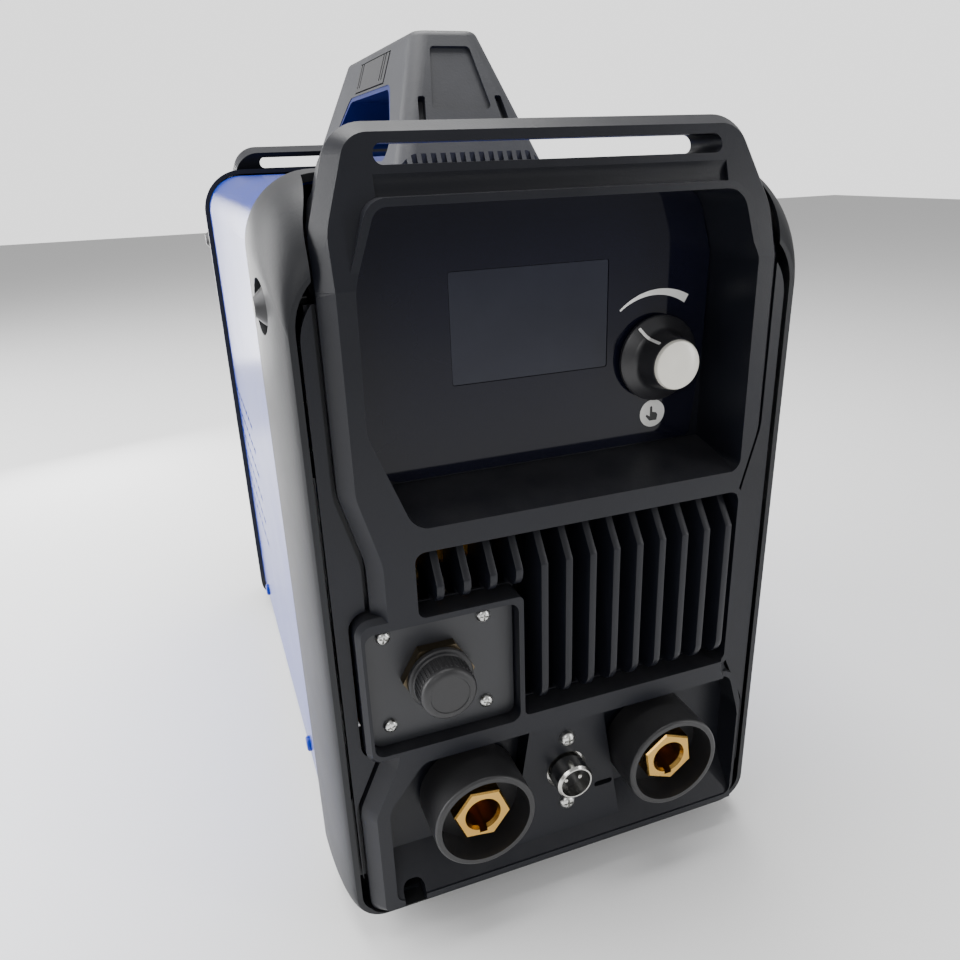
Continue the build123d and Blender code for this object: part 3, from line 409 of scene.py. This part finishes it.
full_fin = prism("full_fin", fin_outline(0.097, 0.0915, 0.009), "x", -0.013, -0.010, FIN_EDGE)
short_fin = prism("short_fin", fin_outline(0.1505, 0.144, 0.007), "x", -0.053, -0.050, FIN_EDGE)
vent_long = laid_out("vent_fins_full", full_fin, in_a_row, frame_black,
                     Count=FULL_FINS, Step=(FIN_PITCH, 0, 0))
vent_short = laid_out("vent_fins_short", short_fin, in_a_row, frame_black,
                      Count=SHORT_FINS, Step=(FIN_PITCH, 0, 0))
outside = [(-0.065, 0.178), (0.078, 0.178), (0.078, 0.089), (-0.025, 0.089),
           (-0.025, 0.1425), (-0.065, 0.1425)]
inside = [(-0.0595, 0.172), (0.0724, 0.172), (0.0724, 0.0946), (-0.0195, 0.0946),
          (-0.0195, 0.148), (-0.0595, 0.148)]
rim_form = bmesh.new()
loops = [[rim_form.verts.new((u, FACE + depth, v)) for u, v in path]
         for path, depth in ((outside, 0.0113), (outside, 0.0131), (inside, 0.0131), (inside, 0.0113))]
for one, two in zip(loops, loops[1:] + loops[:1]):
    for i in range(6):
        j = (i + 1) % 6
        rim_form.faces.new((one[i], one[j], two[j], two[i]))
round_edges(rim_form, 0.0003)
rim_mesh = bpy.data.meshes.new("vent_rim")
rim_form.to_mesh(rim_mesh)
rim_form.free()
vent_rim = link("vent_rim", rim_mesh)
vent_rim.data.materials.append(frame_black)
for fins in (vent_long, vent_short, vent_rim):
    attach(fins, "root")
    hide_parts("front_grille")

# --- Display panel and its print ---------------------------------------------------
# A gloss black acrylic sheet glued into the recess, screen printed in white, with the
# dark display glass in its window. The print is a scale arc and a hand sign for the knob.

panel_gloss = surface("panel_gloss", (0.003, 0.0034, 0.009), (0.0055, 0.006, 0.014), 0.06,
                      scale=60, depth=0.012, coarse=0.8, specular=0.26, dusty=0.02)
display_glass = surface("display_glass", (0.009, 0.010, 0.017), (0.020, 0.022, 0.034), 0.13,
                        scale=80, depth=0.01, coarse=0.9, specular=0.28)
print_white = surface("print_white", (0.68, 0.68, 0.66), (0.80, 0.80, 0.78), 0.4, scale=1500, depth=0.03)
paint(panel_gloss, "display_panel")
paint(display_glass, "lcd_module")

KNOB = middle_of("knob_cap")
ROUND = 96    # sides of the round pieces that are seen close to
PANEL_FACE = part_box("display_panel")[0].y


def printed(name, outline):
    """Thin layer of ink on the front of the panel."""
    ink = link(name, prism(name, outline, "y", PANEL_FACE - 0.00012, PANEL_FACE - 0.00002))
    ink.data.materials.append(print_white)
    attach(ink, "root")


def arc_band(centre, inner, outer, first, last, steps):
    """Outline of an arc band; inner and outer are radii at its two ends."""
    near, far = [], []
    for i in range(steps + 1):
        t = i / steps
        angle = math.radians(first + (last - first) * t)
        low = inner[0] + (inner[1] - inner[0]) * t
        high = outer[0] + (outer[1] - outer[0]) * t
        near.append((centre[0] + low * math.cos(angle), centre[1] + low * math.sin(angle)))
        far.append((centre[0] + high * math.cos(angle), centre[1] + high * math.sin(angle)))
    return near + far[::-1]


def circle(centre, radius, steps=48):
    """Outline of a disc."""
    angles = [2 * math.pi * i / steps for i in range(steps)]
    return [(centre[0] + radius * math.cos(a), centre[1] + radius * math.sin(a)) for a in angles]


printed("print_scale", arc_band(KNOB, (0.0246, 0.0232), (0.0252, 0.0266), 130, 59, 30))
PRESS_DROP = 0.0229
press = (KNOB[0], KNOB[1] - PRESS_DROP)
printed("print_press_disc", circle(press, 0.0056))
press_dark = surface("press_dark", (0.006, 0.006, 0.008), (0.012, 0.012, 0.015), 0.3, scale=900, depth=0.03)
finger = [(-0.0011, 0.0026), (-0.0006, 0.0031), (-0.0001, 0.0026), (0.0, 0.0006),
          (0.0018, 0.0001), (0.0024, -0.0008), (0.0020, -0.0030), (-0.0012, -0.0030),
          (-0.0030, -0.0010), (-0.0026, -0.0003), (-0.0011, -0.0012)]
finger = [(press[0] + u, press[1] + v) for u, v in finger]
finger = prism("print_press_finger", finger, "y", PANEL_FACE - 0.00020, PANEL_FACE - 0.00010)
sign = link("print_press_finger", finger)
sign.data.materials.append(press_dark)
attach(sign, "root")

# --- Knob --------------------------------------------------------------------------
# The encoder knob is a black moulded skirt that flares at its foot, with a glossy ivory
# disc pressed into its end and a white pointer line. It turns without limit and pushes in.

knob_black = surface("knob_black", (0.012, 0.012, 0.014), (0.022, 0.022, 0.025), 0.36, scale=1600, depth=0.08)
ivory = surface("ivory", (0.70, 0.68, 0.60), (0.80, 0.78, 0.71), 0.24, scale=700, depth=0.04, coat=0.2)
skirt_profile = [(0, 0.0132), (0.0090, 0.0132), (0.0096, 0.0134), (0.0099, 0.0140), (0.0107, 0.0210),
                 (0.0112, 0.0222), (0.0124, 0.0232), (0.0160, 0.0243), (0.0166, 0.0249), (0.0166, 0.0262),
                 (0.0163, 0.0264), (0.0054, 0.0264), (0.0054, 0.0180), (0, 0.0180)]
skirt_profile = [(radius, FACE + depth) for radius, depth in skirt_profile]
skirt = link("knob_skirt_moulding", turned("knob_skirt_moulding", skirt_profile, *KNOB, steps=ROUND))
skirt.data.materials.append(knob_black)
cap_profile = [(0, 0.0116), (0.0030, 0.0115), (0.0082, 0.0113), (0.0090, 0.0116), (0.0094, 0.0123),
               (0.0094, 0.0131), (0, 0.0131)]
cap_profile = [(radius, FACE + depth) for radius, depth in cap_profile]
disc = link("knob_disc", turned("knob_disc", cap_profile, *KNOB, steps=ROUND))
disc.data.materials.append(ivory)
pointer = bmesh.new()
lean = math.radians(128)
across = Vector((-math.sin(lean), 0, math.cos(lean))) * 0.00055
for radius, depth in ((0.0104, 0.0148), (0.0111, 0.0212), (0.0126, 0.0229), (0.0158, 0.0239)):
    middle = Vector((KNOB[0] + radius * math.cos(lean), FACE + depth, KNOB[1] + radius * math.sin(lean)))
    for lift in (0.0, 0.0003):
        out = Vector((math.cos(lean), -0.5, math.sin(lean))).normalized() * lift
        pointer.verts.new(middle + across + out)
        pointer.verts.new(middle - across + out)
pointer.verts.ensure_lookup_table()
rows = [pointer.verts[i:i + 4] for i in range(0, 16, 4)]
for one, two in zip(rows, rows[1:]):
    for a, b in ((0, 1), (1, 3), (3, 2), (2, 0)):
        pointer.faces.new((one[a], one[b], two[b], two[a]))
for end in (rows[0], rows[-1]):
    pointer.faces.new((end[0], end[1], end[3], end[2]))
bmesh.ops.recalc_face_normals(pointer, faces=pointer.faces)
pointer_mesh = bpy.data.meshes.new("knob_pointer")
pointer.to_mesh(pointer_mesh)
pointer.free()
line = link("knob_pointer", pointer_mesh)
line.data.materials.append(print_white)
for piece, slot_name, node in ((skirt, "socket_plastic", "knob_skirt"), (disc, "ivory_plastic", "knob_cap")):
    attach(piece, "knob")
    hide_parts(node)
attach(line, "knob")
steel = surface("plain_steel", (0.34, 0.34, 0.35), (0.50, 0.50, 0.52),
                0.32, metal=1.0, pattern="lines", depth=0.08,
                stretch=(700.0, 50.0, 700.0))
moulded_dark = surface("moulded_dark", (0.016, 0.016, 0.018), (0.030, 0.030, 0.033),
                       0.5, scale=800, depth=0.1)
paint(steel, "encoder_nut", "encoder_plunger", "knob_shaft", "gas_valve_plunger")
paint(moulded_dark, "encoder_body")

# --- Welding sockets and control connector -----------------------------------------
# Two bayonet sockets: a turned brass insert with a hexagon end in a black insulating
# collar. Between them is a nickel plated two-pin connector held by two small screws.

brass = surface("brass", (0.46, 0.25, 0.05), (0.72, 0.46, 0.14), 0.26, metal=1.0, pattern="lines", depth=0.12,
                stretch=(500.0, 500.0, 500.0))
nickel = surface("nickel", (0.46, 0.46, 0.44), (0.66, 0.65, 0.62),
                 0.2, metal=1.0, pattern="lines", depth=0.06,
                 stretch=(600.0, 40.0, 600.0))
zinc_bright = surface("zinc_bright", (0.5, 0.5, 0.49), (0.72, 0.72, 0.7),
                      0.28, metal=1.0, pattern="lines", depth=0.08,
                      stretch=(300.0, 300.0, 300.0))
collar_black = surface("collar_black", (0.007, 0.007, 0.008), (0.015, 0.015, 0.017),
                       0.4, scale=900, depth=0.1, dusty=0.06)
copper = surface("copper", (0.45, 0.18, 0.09), (0.72, 0.34, 0.2), 0.3, metal=1.0, pattern="lines", depth=0.1,
                 stretch=(60.0, 500.0, 60.0))
paint(brass, "socket_inserts", "gas_fitting", "gas_inlet", "gas_valve_body")
paint(collar_black, "socket_collars", "connector_insulator")
paint(nickel, "connector_shell", "connector_pins")
paint(copper, "busbars")
paint(zinc_bright, "socket_nuts", "foot_screws", "handle_screws")


def cross_screw(name, head, height, shank, length):
    """Pan head screw along y at the origin: domed head with a cross recess, and its shank."""
    steps = [(0, -height), (head * 0.45, -height * 0.97), (head * 0.78, -height * 0.78),
             (head * 0.95, -height * 0.45), (head, -height * 0.15), (head, 0),
             (shank, 0), (shank, length), (0, length)]
    body = link(name, turned(name, steps, 0, 0, steps=32))
    for tip in (0, 90):
        arm = [(-head * 0.58, -head * 0.13), (head * 0.58, -head * 0.13),
               (head * 0.58, head * 0.13), (-head * 0.58, head * 0.13)]
        cos, sin = math.cos(math.radians(tip)), math.sin(math.radians(tip))
        arm = [(u * cos - v * sin, u * sin + v * cos) for u, v in arm]
        cutter = link("cutter", prism("cutter", arm, "y", -height * 1.5, -height * 0.4))
        cut = body.modifiers.new("recess", "BOOLEAN")
        cut.operation = "DIFFERENCE"
        cut.solver = "EXACT"
        cut.object = cutter
        view = bpy.context.evaluated_depsgraph_get()
        mesh = bpy.data.meshes.new_from_object(body.evaluated_get(view), depsgraph=view)
        bpy.data.objects.remove(cutter)
        bpy.data.objects.remove(body)
        body = link(name, mesh)
    bpy.data.objects.remove(body)
    return mesh


def corner_points(tree, given, spread):
    grid = tree.nodes.new("GeometryNodeMeshGrid")
    grid.inputs["Vertices X"].default_value = 2
    grid.inputs["Vertices Y"].default_value = 2
    tree.links.new(given.outputs["Across"], grid.inputs["Size X"])
    tree.links.new(given.outputs["Up"], grid.inputs["Size Y"])
    stand = tree.nodes.new("GeometryNodeTransform")
    stand.inputs["Rotation"].default_value = (math.radians(90), 0, 0)
    tree.links.new(grid.outputs["Mesh"], stand.inputs["Geometry"])
    tree.links.new(given.outputs["Centre"], stand.inputs["Translation"])
    tree.links.new(stand.outputs["Geometry"], spread.inputs["Points"])
    angle = tree.nodes.new("FunctionNodeRandomValue")
    angle.data_type = "FLOAT_VECTOR"
    angle.inputs[0].default_value = (0, -1.5, 0)
    angle.inputs[1].default_value = (0, 1.5, 0)
    tree.links.new(given.outputs["Seed"], angle.inputs["Seed"])
    tree.links.new(angle.outputs[0], spread.inputs["Rotation"])


at_corners = placing_tree(
    "at_corners",
    [("Across", "NodeSocketFloat", 0.04), ("Up", "NodeSocketFloat", 0.04),
     ("Centre", "NodeSocketVector", (0.0, 0.0, 0.0)), ("Seed", "NodeSocketInt", 3)],
    corner_points,
)


def screws_at(name, node, material, head, height, shank, seat, seed, back=False):
    """Screws in the corners of a rectangle, read from the CAD node that they replace."""
    low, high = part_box(node)
    mesh = cross_screw(name, head, height, shank, (high.y - low.y) - height - 0.0002)
    if back:
        for vertex in mesh.vertices:
            vertex.co = (-vertex.co.x, -vertex.co.y, vertex.co.z)
    centre = ((low.x + high.x) / 2, seat, (low.z + high.z) / 2)
    group = laid_out(name, mesh, at_corners, material, Across=high.x - low.x - 2 * head,
                     Up=high.z - low.z - 2 * head, Centre=centre, Seed=seed)
    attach(group, "root")
    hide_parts(node)


low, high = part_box("gas_plate_screws")
screws_at("gas_plate_screw_set", "gas_plate_screws", zinc_bright,
          0.0028, 0.0020, 0.0012, low.y + 0.0020, 4)
low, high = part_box("fan_screws")
screws_at("fan_screw_set", "fan_screws", zinc_bright,
          0.0038, 0.0024, 0.0020, high.y - 0.0024, 7, back=True)
connector_low, connector_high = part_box("connector_screws")
connector_screw = cross_screw("connector_screw", 0.0034, 0.0026, 0.0016, 0.0098)
for vertex in connector_screw.vertices:
    vertex.co += Vector((0, connector_low.y + 0.0026, connector_low.z + 0.0034))
connector_pair = laid_out("connector_screw_pair", connector_screw, in_a_row, zinc_bright, Count=2,
                          Step=(0, 0, connector_high.z - connector_low.z - 0.0068))
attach(connector_pair, "root")
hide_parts("connector_screws")

# --- Gas outlet --------------------------------------------------------------------
# The torch's gas outlet stands on its own black plate, four screws at its corners. A dull
# bronze nut clamps it, and a ribbed black cap keeps dust out of its thread.

plate_black = surface("plate_black", (0.012, 0.013, 0.016), (0.021, 0.022, 0.027),
                      0.4, scale=1100, depth=0.12, dusty=0.08)
bronze = surface("dull_bronze", (0.06, 0.048, 0.03), (0.20, 0.16, 0.10),
                 0.42, metal=0.9, pattern="lines", depth=0.2,
                 stretch=(300.0, 300.0, 300.0))
paint(plate_black, "gas_plate")
paint(bronze, "gas_nut")
GAS = middle_of("gas_cap")
CAP_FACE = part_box("gas_cap")[0].y
nose = [(0, 0.0004), (0.0072, 0.0004), (0.0074, 0.0001), (0.0086, 0.0001), (0.0096, 0.0005), (0.0103, 0.0013),
        (0.0105, 0.0022), (0.0105, 0.0096), (0.0110, 0.0101), (0.0119, 0.0102), (0.0124, 0.0107), (0.0124, 0.0124),
        (0.0120, 0.0127), (0.0064, 0.0127), (0.0064, 0.0040), (0, 0.0040)]
nose = [(radius, CAP_FACE + depth) for radius, depth in nose]
cap = link("gas_cap_moulding", turned("gas_cap_moulding", nose, *GAS, steps=ROUND))
cap.data.materials.append(collar_black)


def ring_points(tree, given, spread):
    circle = tree.nodes.new("GeometryNodeMeshCircle")
    tree.links.new(given.outputs["Count"], circle.inputs["Vertices"])
    circle.inputs["Radius"].default_value = 1.0
    number = tree.nodes.new("GeometryNodeInputIndex")
    share = tree.nodes.new("ShaderNodeMath")
    share.operation = "DIVIDE"
    tree.links.new(number.outputs[0], share.inputs[0])
    tree.links.new(given.outputs["Count"], share.inputs[1])
    angle = tree.nodes.new("ShaderNodeMath")
    angle.operation = "MULTIPLY"
    angle.inputs[1].default_value = 2 * math.pi
    tree.links.new(share.outputs[0], angle.inputs[0])
    turn = tree.nodes.new("ShaderNodeCombineXYZ")
    tree.links.new(angle.outputs[0], turn.inputs["Y"])
    centre = tree.nodes.new("GeometryNodeSetPosition")
    tree.links.new(circle.outputs["Mesh"], centre.inputs["Geometry"])
    tree.links.new(given.outputs["Centre"], centre.inputs["Position"])
    tree.links.new(centre.outputs["Geometry"], spread.inputs["Points"])
    tree.links.new(turn.outputs[0], spread.inputs["Rotation"])


in_a_ring = placing_tree(
    "in_a_ring",
    [("Count", "NodeSocketInt", 12), ("Centre", "NodeSocketVector", (0.0, 0.0, 0.0))],
    ring_points,
)
rib = [(-0.0004, 0.0100), (0.0004, 0.0100), (0.0004, 0.01078), (-0.0004, 0.01078)]
rib = prism("cap_rib", rib, "y", 0.0028, 0.0094, 0.0002)
ribs = laid_out("gas_cap_ribs", rib, in_a_ring, collar_black, Count=40, Centre=(GAS[0], CAP_FACE, GAS[1]))
for piece in (cap, ribs):
    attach(piece, "gas_cap")
    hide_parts("gas_cap")

# --- Handle ------------------------------------------------------------------------
# One moulded carrying handle in grained grey-black plastic, screwed down through the
# cover. Soft rubber pads sit in its sides and a ring lines the hand opening. The ring is painted
# blue as painted backdrop light: its blue stands in for the blue surroundings seen and reflected there.

handle_grey = surface("handle_grey", (0.015, 0.016, 0.020), (0.030, 0.032, 0.039),
                      0.5, scale=1000, depth=0.18, dusty=0.2)
# Painted backdrop light: this blue stands in for the blue surroundings seen and reflected in the hand opening. It
# is not a colour the handle has.
liner_blue = surface("liner_blue", (0.004, 0.011, 0.085), (0.009, 0.022, 0.15),
                     0.5, scale=900, depth=0.1, specular=0.3)
soft_rubber = surface("soft_rubber", (0.014, 0.014, 0.015), (0.026, 0.026, 0.028),
                      0.7, scale=700, depth=0.25, dusty=0.1)
paint(handle_grey, "handle_body")
paint(liner_blue, "handle_liner")
paint(soft_rubber, "grip_pads", "feet", "gas_hoses")

# --- Side screws -------------------------------------------------------------------
# One black domed screw sits in a round recess on each side of both bezel shells.

black_screw = surface("black_screw", (0.012, 0.012, 0.013), (0.03, 0.03, 0.032),
                      0.36, metal=0.6, scale=600, depth=0.1)
paint(black_screw, "shell_screws")

# --- Back: fan, switch, gland and gas inlet ----------------------------------------
# A 120 mm fan draws air through the back. A rocker switch snaps in above it, and the
# mains gland and the gas inlet sit below.

fan_black = surface("fan_black", (0.010, 0.010, 0.011), (0.020, 0.020, 0.022),
                    0.34, scale=800, depth=0.06, dusty=0.15)
switch_black = surface("switch_black", (0.012, 0.012, 0.013), (0.022, 0.022, 0.024),
                       0.36, scale=1300, depth=0.08)
rocker_red = surface("rocker_red", (0.34, 0.008, 0.006), (0.5, 0.02, 0.014),
                     0.25, scale=900, depth=0.04, coat=0.3)
paint(fan_black, "fan_frame")
fan_low, fan_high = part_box("fan_rotor")
FAN = middle_of("fan_frame")
blade_form = bmesh.new()
stations = []
for i in range(7):
    radius = 0.0186 + (0.0538 - 0.0186) * i / 6
    half_chord = 0.0095 + 0.0035 * i / 6
    pitch = math.radians(52 - 20 * i / 6)
    sweep = 0.35 * (i / 6) ** 1.5
    rows = []
    for j in range(7):
        t = -1 + 2 * j / 6
        across = t * half_chord * math.cos(pitch)
        depth = max(-0.0086, min(0.0086, t * half_chord * math.sin(pitch) + 0.0012 * (1 - t * t)))
        angle = sweep + across / radius
        for side in (-1, 1):
            thick = side * 0.0006 * (1 - 0.8 * t * t)
            corner = (radius * math.sin(angle), depth + thick, radius * math.cos(angle))
            rows.append(blade_form.verts.new(corner))
    stations.append(rows)
for one, two in zip(stations, stations[1:]):
    for j in range(6):
        for k, flip in ((0, 1), (1, -1)):
            face = (one[2 * j + k], one[2 * j + 2 + k], two[2 * j + 2 + k], two[2 * j + k])
            blade_form.faces.new(face[::flip])
    for j in (0, 6):
        face = (one[2 * j], one[2 * j + 1], two[2 * j + 1], two[2 * j])
        blade_form.faces.new(face)
for rows in (stations[0], stations[-1]):
    for j in range(6):
        blade_form.faces.new((rows[2 * j], rows[2 * j + 1], rows[2 * j + 3], rows[2 * j + 2]))
bmesh.ops.recalc_face_normals(blade_form, faces=blade_form.faces)
blade = bpy.data.meshes.new("fan_blade")
blade_form.to_mesh(blade)
blade_form.free()
middle = (fan_low.y + fan_high.y) / 2
blades = laid_out("fan_blades", blade, in_a_ring, fan_black, Count=7, Centre=(FAN[0], middle, FAN[1]))
back, front = fan_high.y, fan_low.y
cup = [(0, back - 0.0002), (0.0168, back - 0.0002), (0.0184, back - 0.0010), (0.0190, back - 0.0026),
       (0.0190, front + 0.0004), (0.0186, front), (0.0172, front), (0.0170, back - 0.0024), (0.0040, back - 0.0024),
       (0.0040, front), (0.0016, front), (0.0016, back - 0.0014), (0, back - 0.0014)]
hub = link("fan_hub", turned("fan_hub", cup, *FAN, steps=72))
hub.data.materials.append(fan_black)
for piece in (blades, hub):
    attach(piece, "fan")
    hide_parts("fan_rotor")
paint(switch_black, "switch_body", "cable_gland", "gland_nut")
paint(rocker_red, "switch_rocker")

# --- Power electronics -------------------------------------------------------------
# Behind the vent: aluminium heatsinks on glass-filled rails, circuit boards with their
# cans and blocks, the main transformer, output choke and the yellow ignition coil.

aluminium = surface("extruded_aluminium", (0.42, 0.43, 0.44), (0.62, 0.63, 0.64),
                    0.4, metal=1.0, pattern="lines", depth=0.15,
                    stretch=(500.0, 30.0, 500.0))
rail_tan = surface("rail_tan", (0.24, 0.22, 0.18), (0.34, 0.31, 0.26), 0.6, scale=500, depth=0.2)
board_green = surface("board_green", (0.010, 0.10, 0.04), (0.022, 0.17, 0.075),
                      0.26, scale=300, depth=0.1, coat=0.3)
ferrite = surface("ferrite", (0.035, 0.033, 0.034), (0.08, 0.075, 0.075), 0.6, scale=350, depth=0.3)
can_sleeve = surface("can_sleeve", (0.012, 0.016, 0.05), (0.026, 0.034, 0.10), 0.25, scale=500, depth=0.05)
varnish_yellow = surface("varnish_yellow", (0.55, 0.26, 0.02), (0.86, 0.52, 0.08),
                         0.3, scale=400, depth=0.15, coat=0.3)
paint(aluminium, "heatsinks")
paint(rail_tan, "heatsink_rails")
paint(board_green, "power_board", "control_board")
paint(moulded_dark, "power_modules", "board_parts", "gas_valve_coil")
paint(ferrite, "transformer")
paint(can_sleeve, "capacitors")


def wire_loop(name, width, height, corner, wire, plane, centre, sides=6):
    """One closed turn of wire round a rounded rectangle; plane holds its two directions."""
    path = []
    for cx, cz, first in ((1, 1, 0), (-1, 1, 90), (-1, -1, 180), (1, -1, 270)):
        for step in range(4):
            angle = math.radians(first + 30 * step)
            across = cx * (width / 2 - corner) + corner * math.cos(angle)
            up = cz * (height / 2 - corner) + corner * math.sin(angle)
            path.append((across, up))
    first, second = Vector(plane[0]), Vector(plane[1])
    normal = first.cross(second)
    form = bmesh.new()
    rings = []
    for i, (u, v) in enumerate(path):
        before, after = path[i - 1], path[(i + 1) % len(path)]
        along = (first * (after[0] - before[0]) + second * (after[1] - before[1])).normalized()
        outward = along.cross(normal)
        middle = Vector(centre) + first * u + second * v
        ring = []
        for k in range(sides):
            angle = 2 * math.pi * k / sides
            ring.append(form.verts.new(middle + (outward * math.cos(angle) + normal * math.sin(angle)) * wire))
        rings.append(ring)
    for i, one in enumerate(rings):
        two = rings[(i + 1) % len(rings)]
        for k in range(sides):
            m = (k + 1) % sides
            form.faces.new((one[k], one[m], two[m], two[k]))
    bmesh.ops.recalc_face_normals(form, faces=form.faces)
    mesh = bpy.data.meshes.new(name)
    form.to_mesh(mesh)
    form.free()
    return mesh


# Output choke: thick copper turns round a ring core that stands on edge.
choke_low, choke_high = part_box("output_choke")
choke_x, choke_y = (choke_low.x + choke_high.x) / 2, (choke_low.y + choke_high.y) / 2
choke_z = choke_high.z - 0.030
turn = wire_loop("choke_turn", 0.0148, 0.0300, 0.0030, 0.0010, ((0, 0, 1), (0, 1, 0)), (0, 0, 0.0205))
choke_turns = laid_out("output_choke_turns", turn, in_a_ring, copper,
                       Count=44, Centre=(choke_x, choke_y, choke_z))
core_ring = [(0.0148, -0.0128), (0.0262, -0.0128), (0.0262, 0.0128), (0.0148, 0.0128), (0.0148, -0.0128)]
core_ring = [(radius, choke_y + depth) for radius, depth in core_ring]
choke_core = link("output_choke_core", turned("output_choke_core", core_ring, choke_x, choke_z))
choke_core.data.materials.append(ferrite)
for piece, slot_name in ((choke_turns, "copper"), (choke_core, "ferrite")):
    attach(piece, "root")
    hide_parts("output_choke")

# Ignition coil: yellow varnished wire over tape, on a ferrite rod that a steel plate holds.
coil_low, coil_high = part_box("ignition_coil")
coil_y, coil_z = coil_low.y + 0.014, coil_low.z + 0.014
coil_turn = wire_loop("coil_turn", 0.0266, 0.0266, 0.0132, 0.0007, ((0, 1, 0), (0, 0, 1)),
                      (coil_low.x + 0.0050, coil_y, coil_z))
coil_turns = laid_out("ignition_coil_turns", coil_turn, in_a_row, varnish_yellow,
                      Count=22, Step=(0.00145, 0, 0))
tape = link("ignition_coil_tape", prism("ignition_coil_tape", circle((coil_y, coil_z), 0.0131), "x",
                                        coil_low.x + 0.004, coil_low.x + 0.038, 0.0006))
tape.data.materials.append(varnish_yellow)
rod = link("ignition_coil_rod", prism("ignition_coil_rod", circle((coil_y, coil_z), 0.0060), "x",
                                      coil_low.x + 0.0021, coil_high.x, 0.0005))
rod.data.materials.append(ferrite)
plate = [(0, 0.008), (0.032, 0.008), (0.032, 0.031), (0.030, 0.031), (0.030, 0.020), (0, 0.020)]
plate = [(coil_y + u, coil_low.z + v) for u, v in plate]
plate = prism("ignition_coil_plate", plate, "x", coil_low.x, coil_low.x + 0.0020, 0.0002)
holder = link("ignition_coil_plate", plate)
holder.data.materials.append(zinc_sheet)
for piece, slot_name in ((coil_turns, "yellow_winding"), (tape, "yellow_winding"),
                         (rod, "ferrite"), (holder, "galvanised")):
    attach(piece, "root")
    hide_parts("ignition_coil")
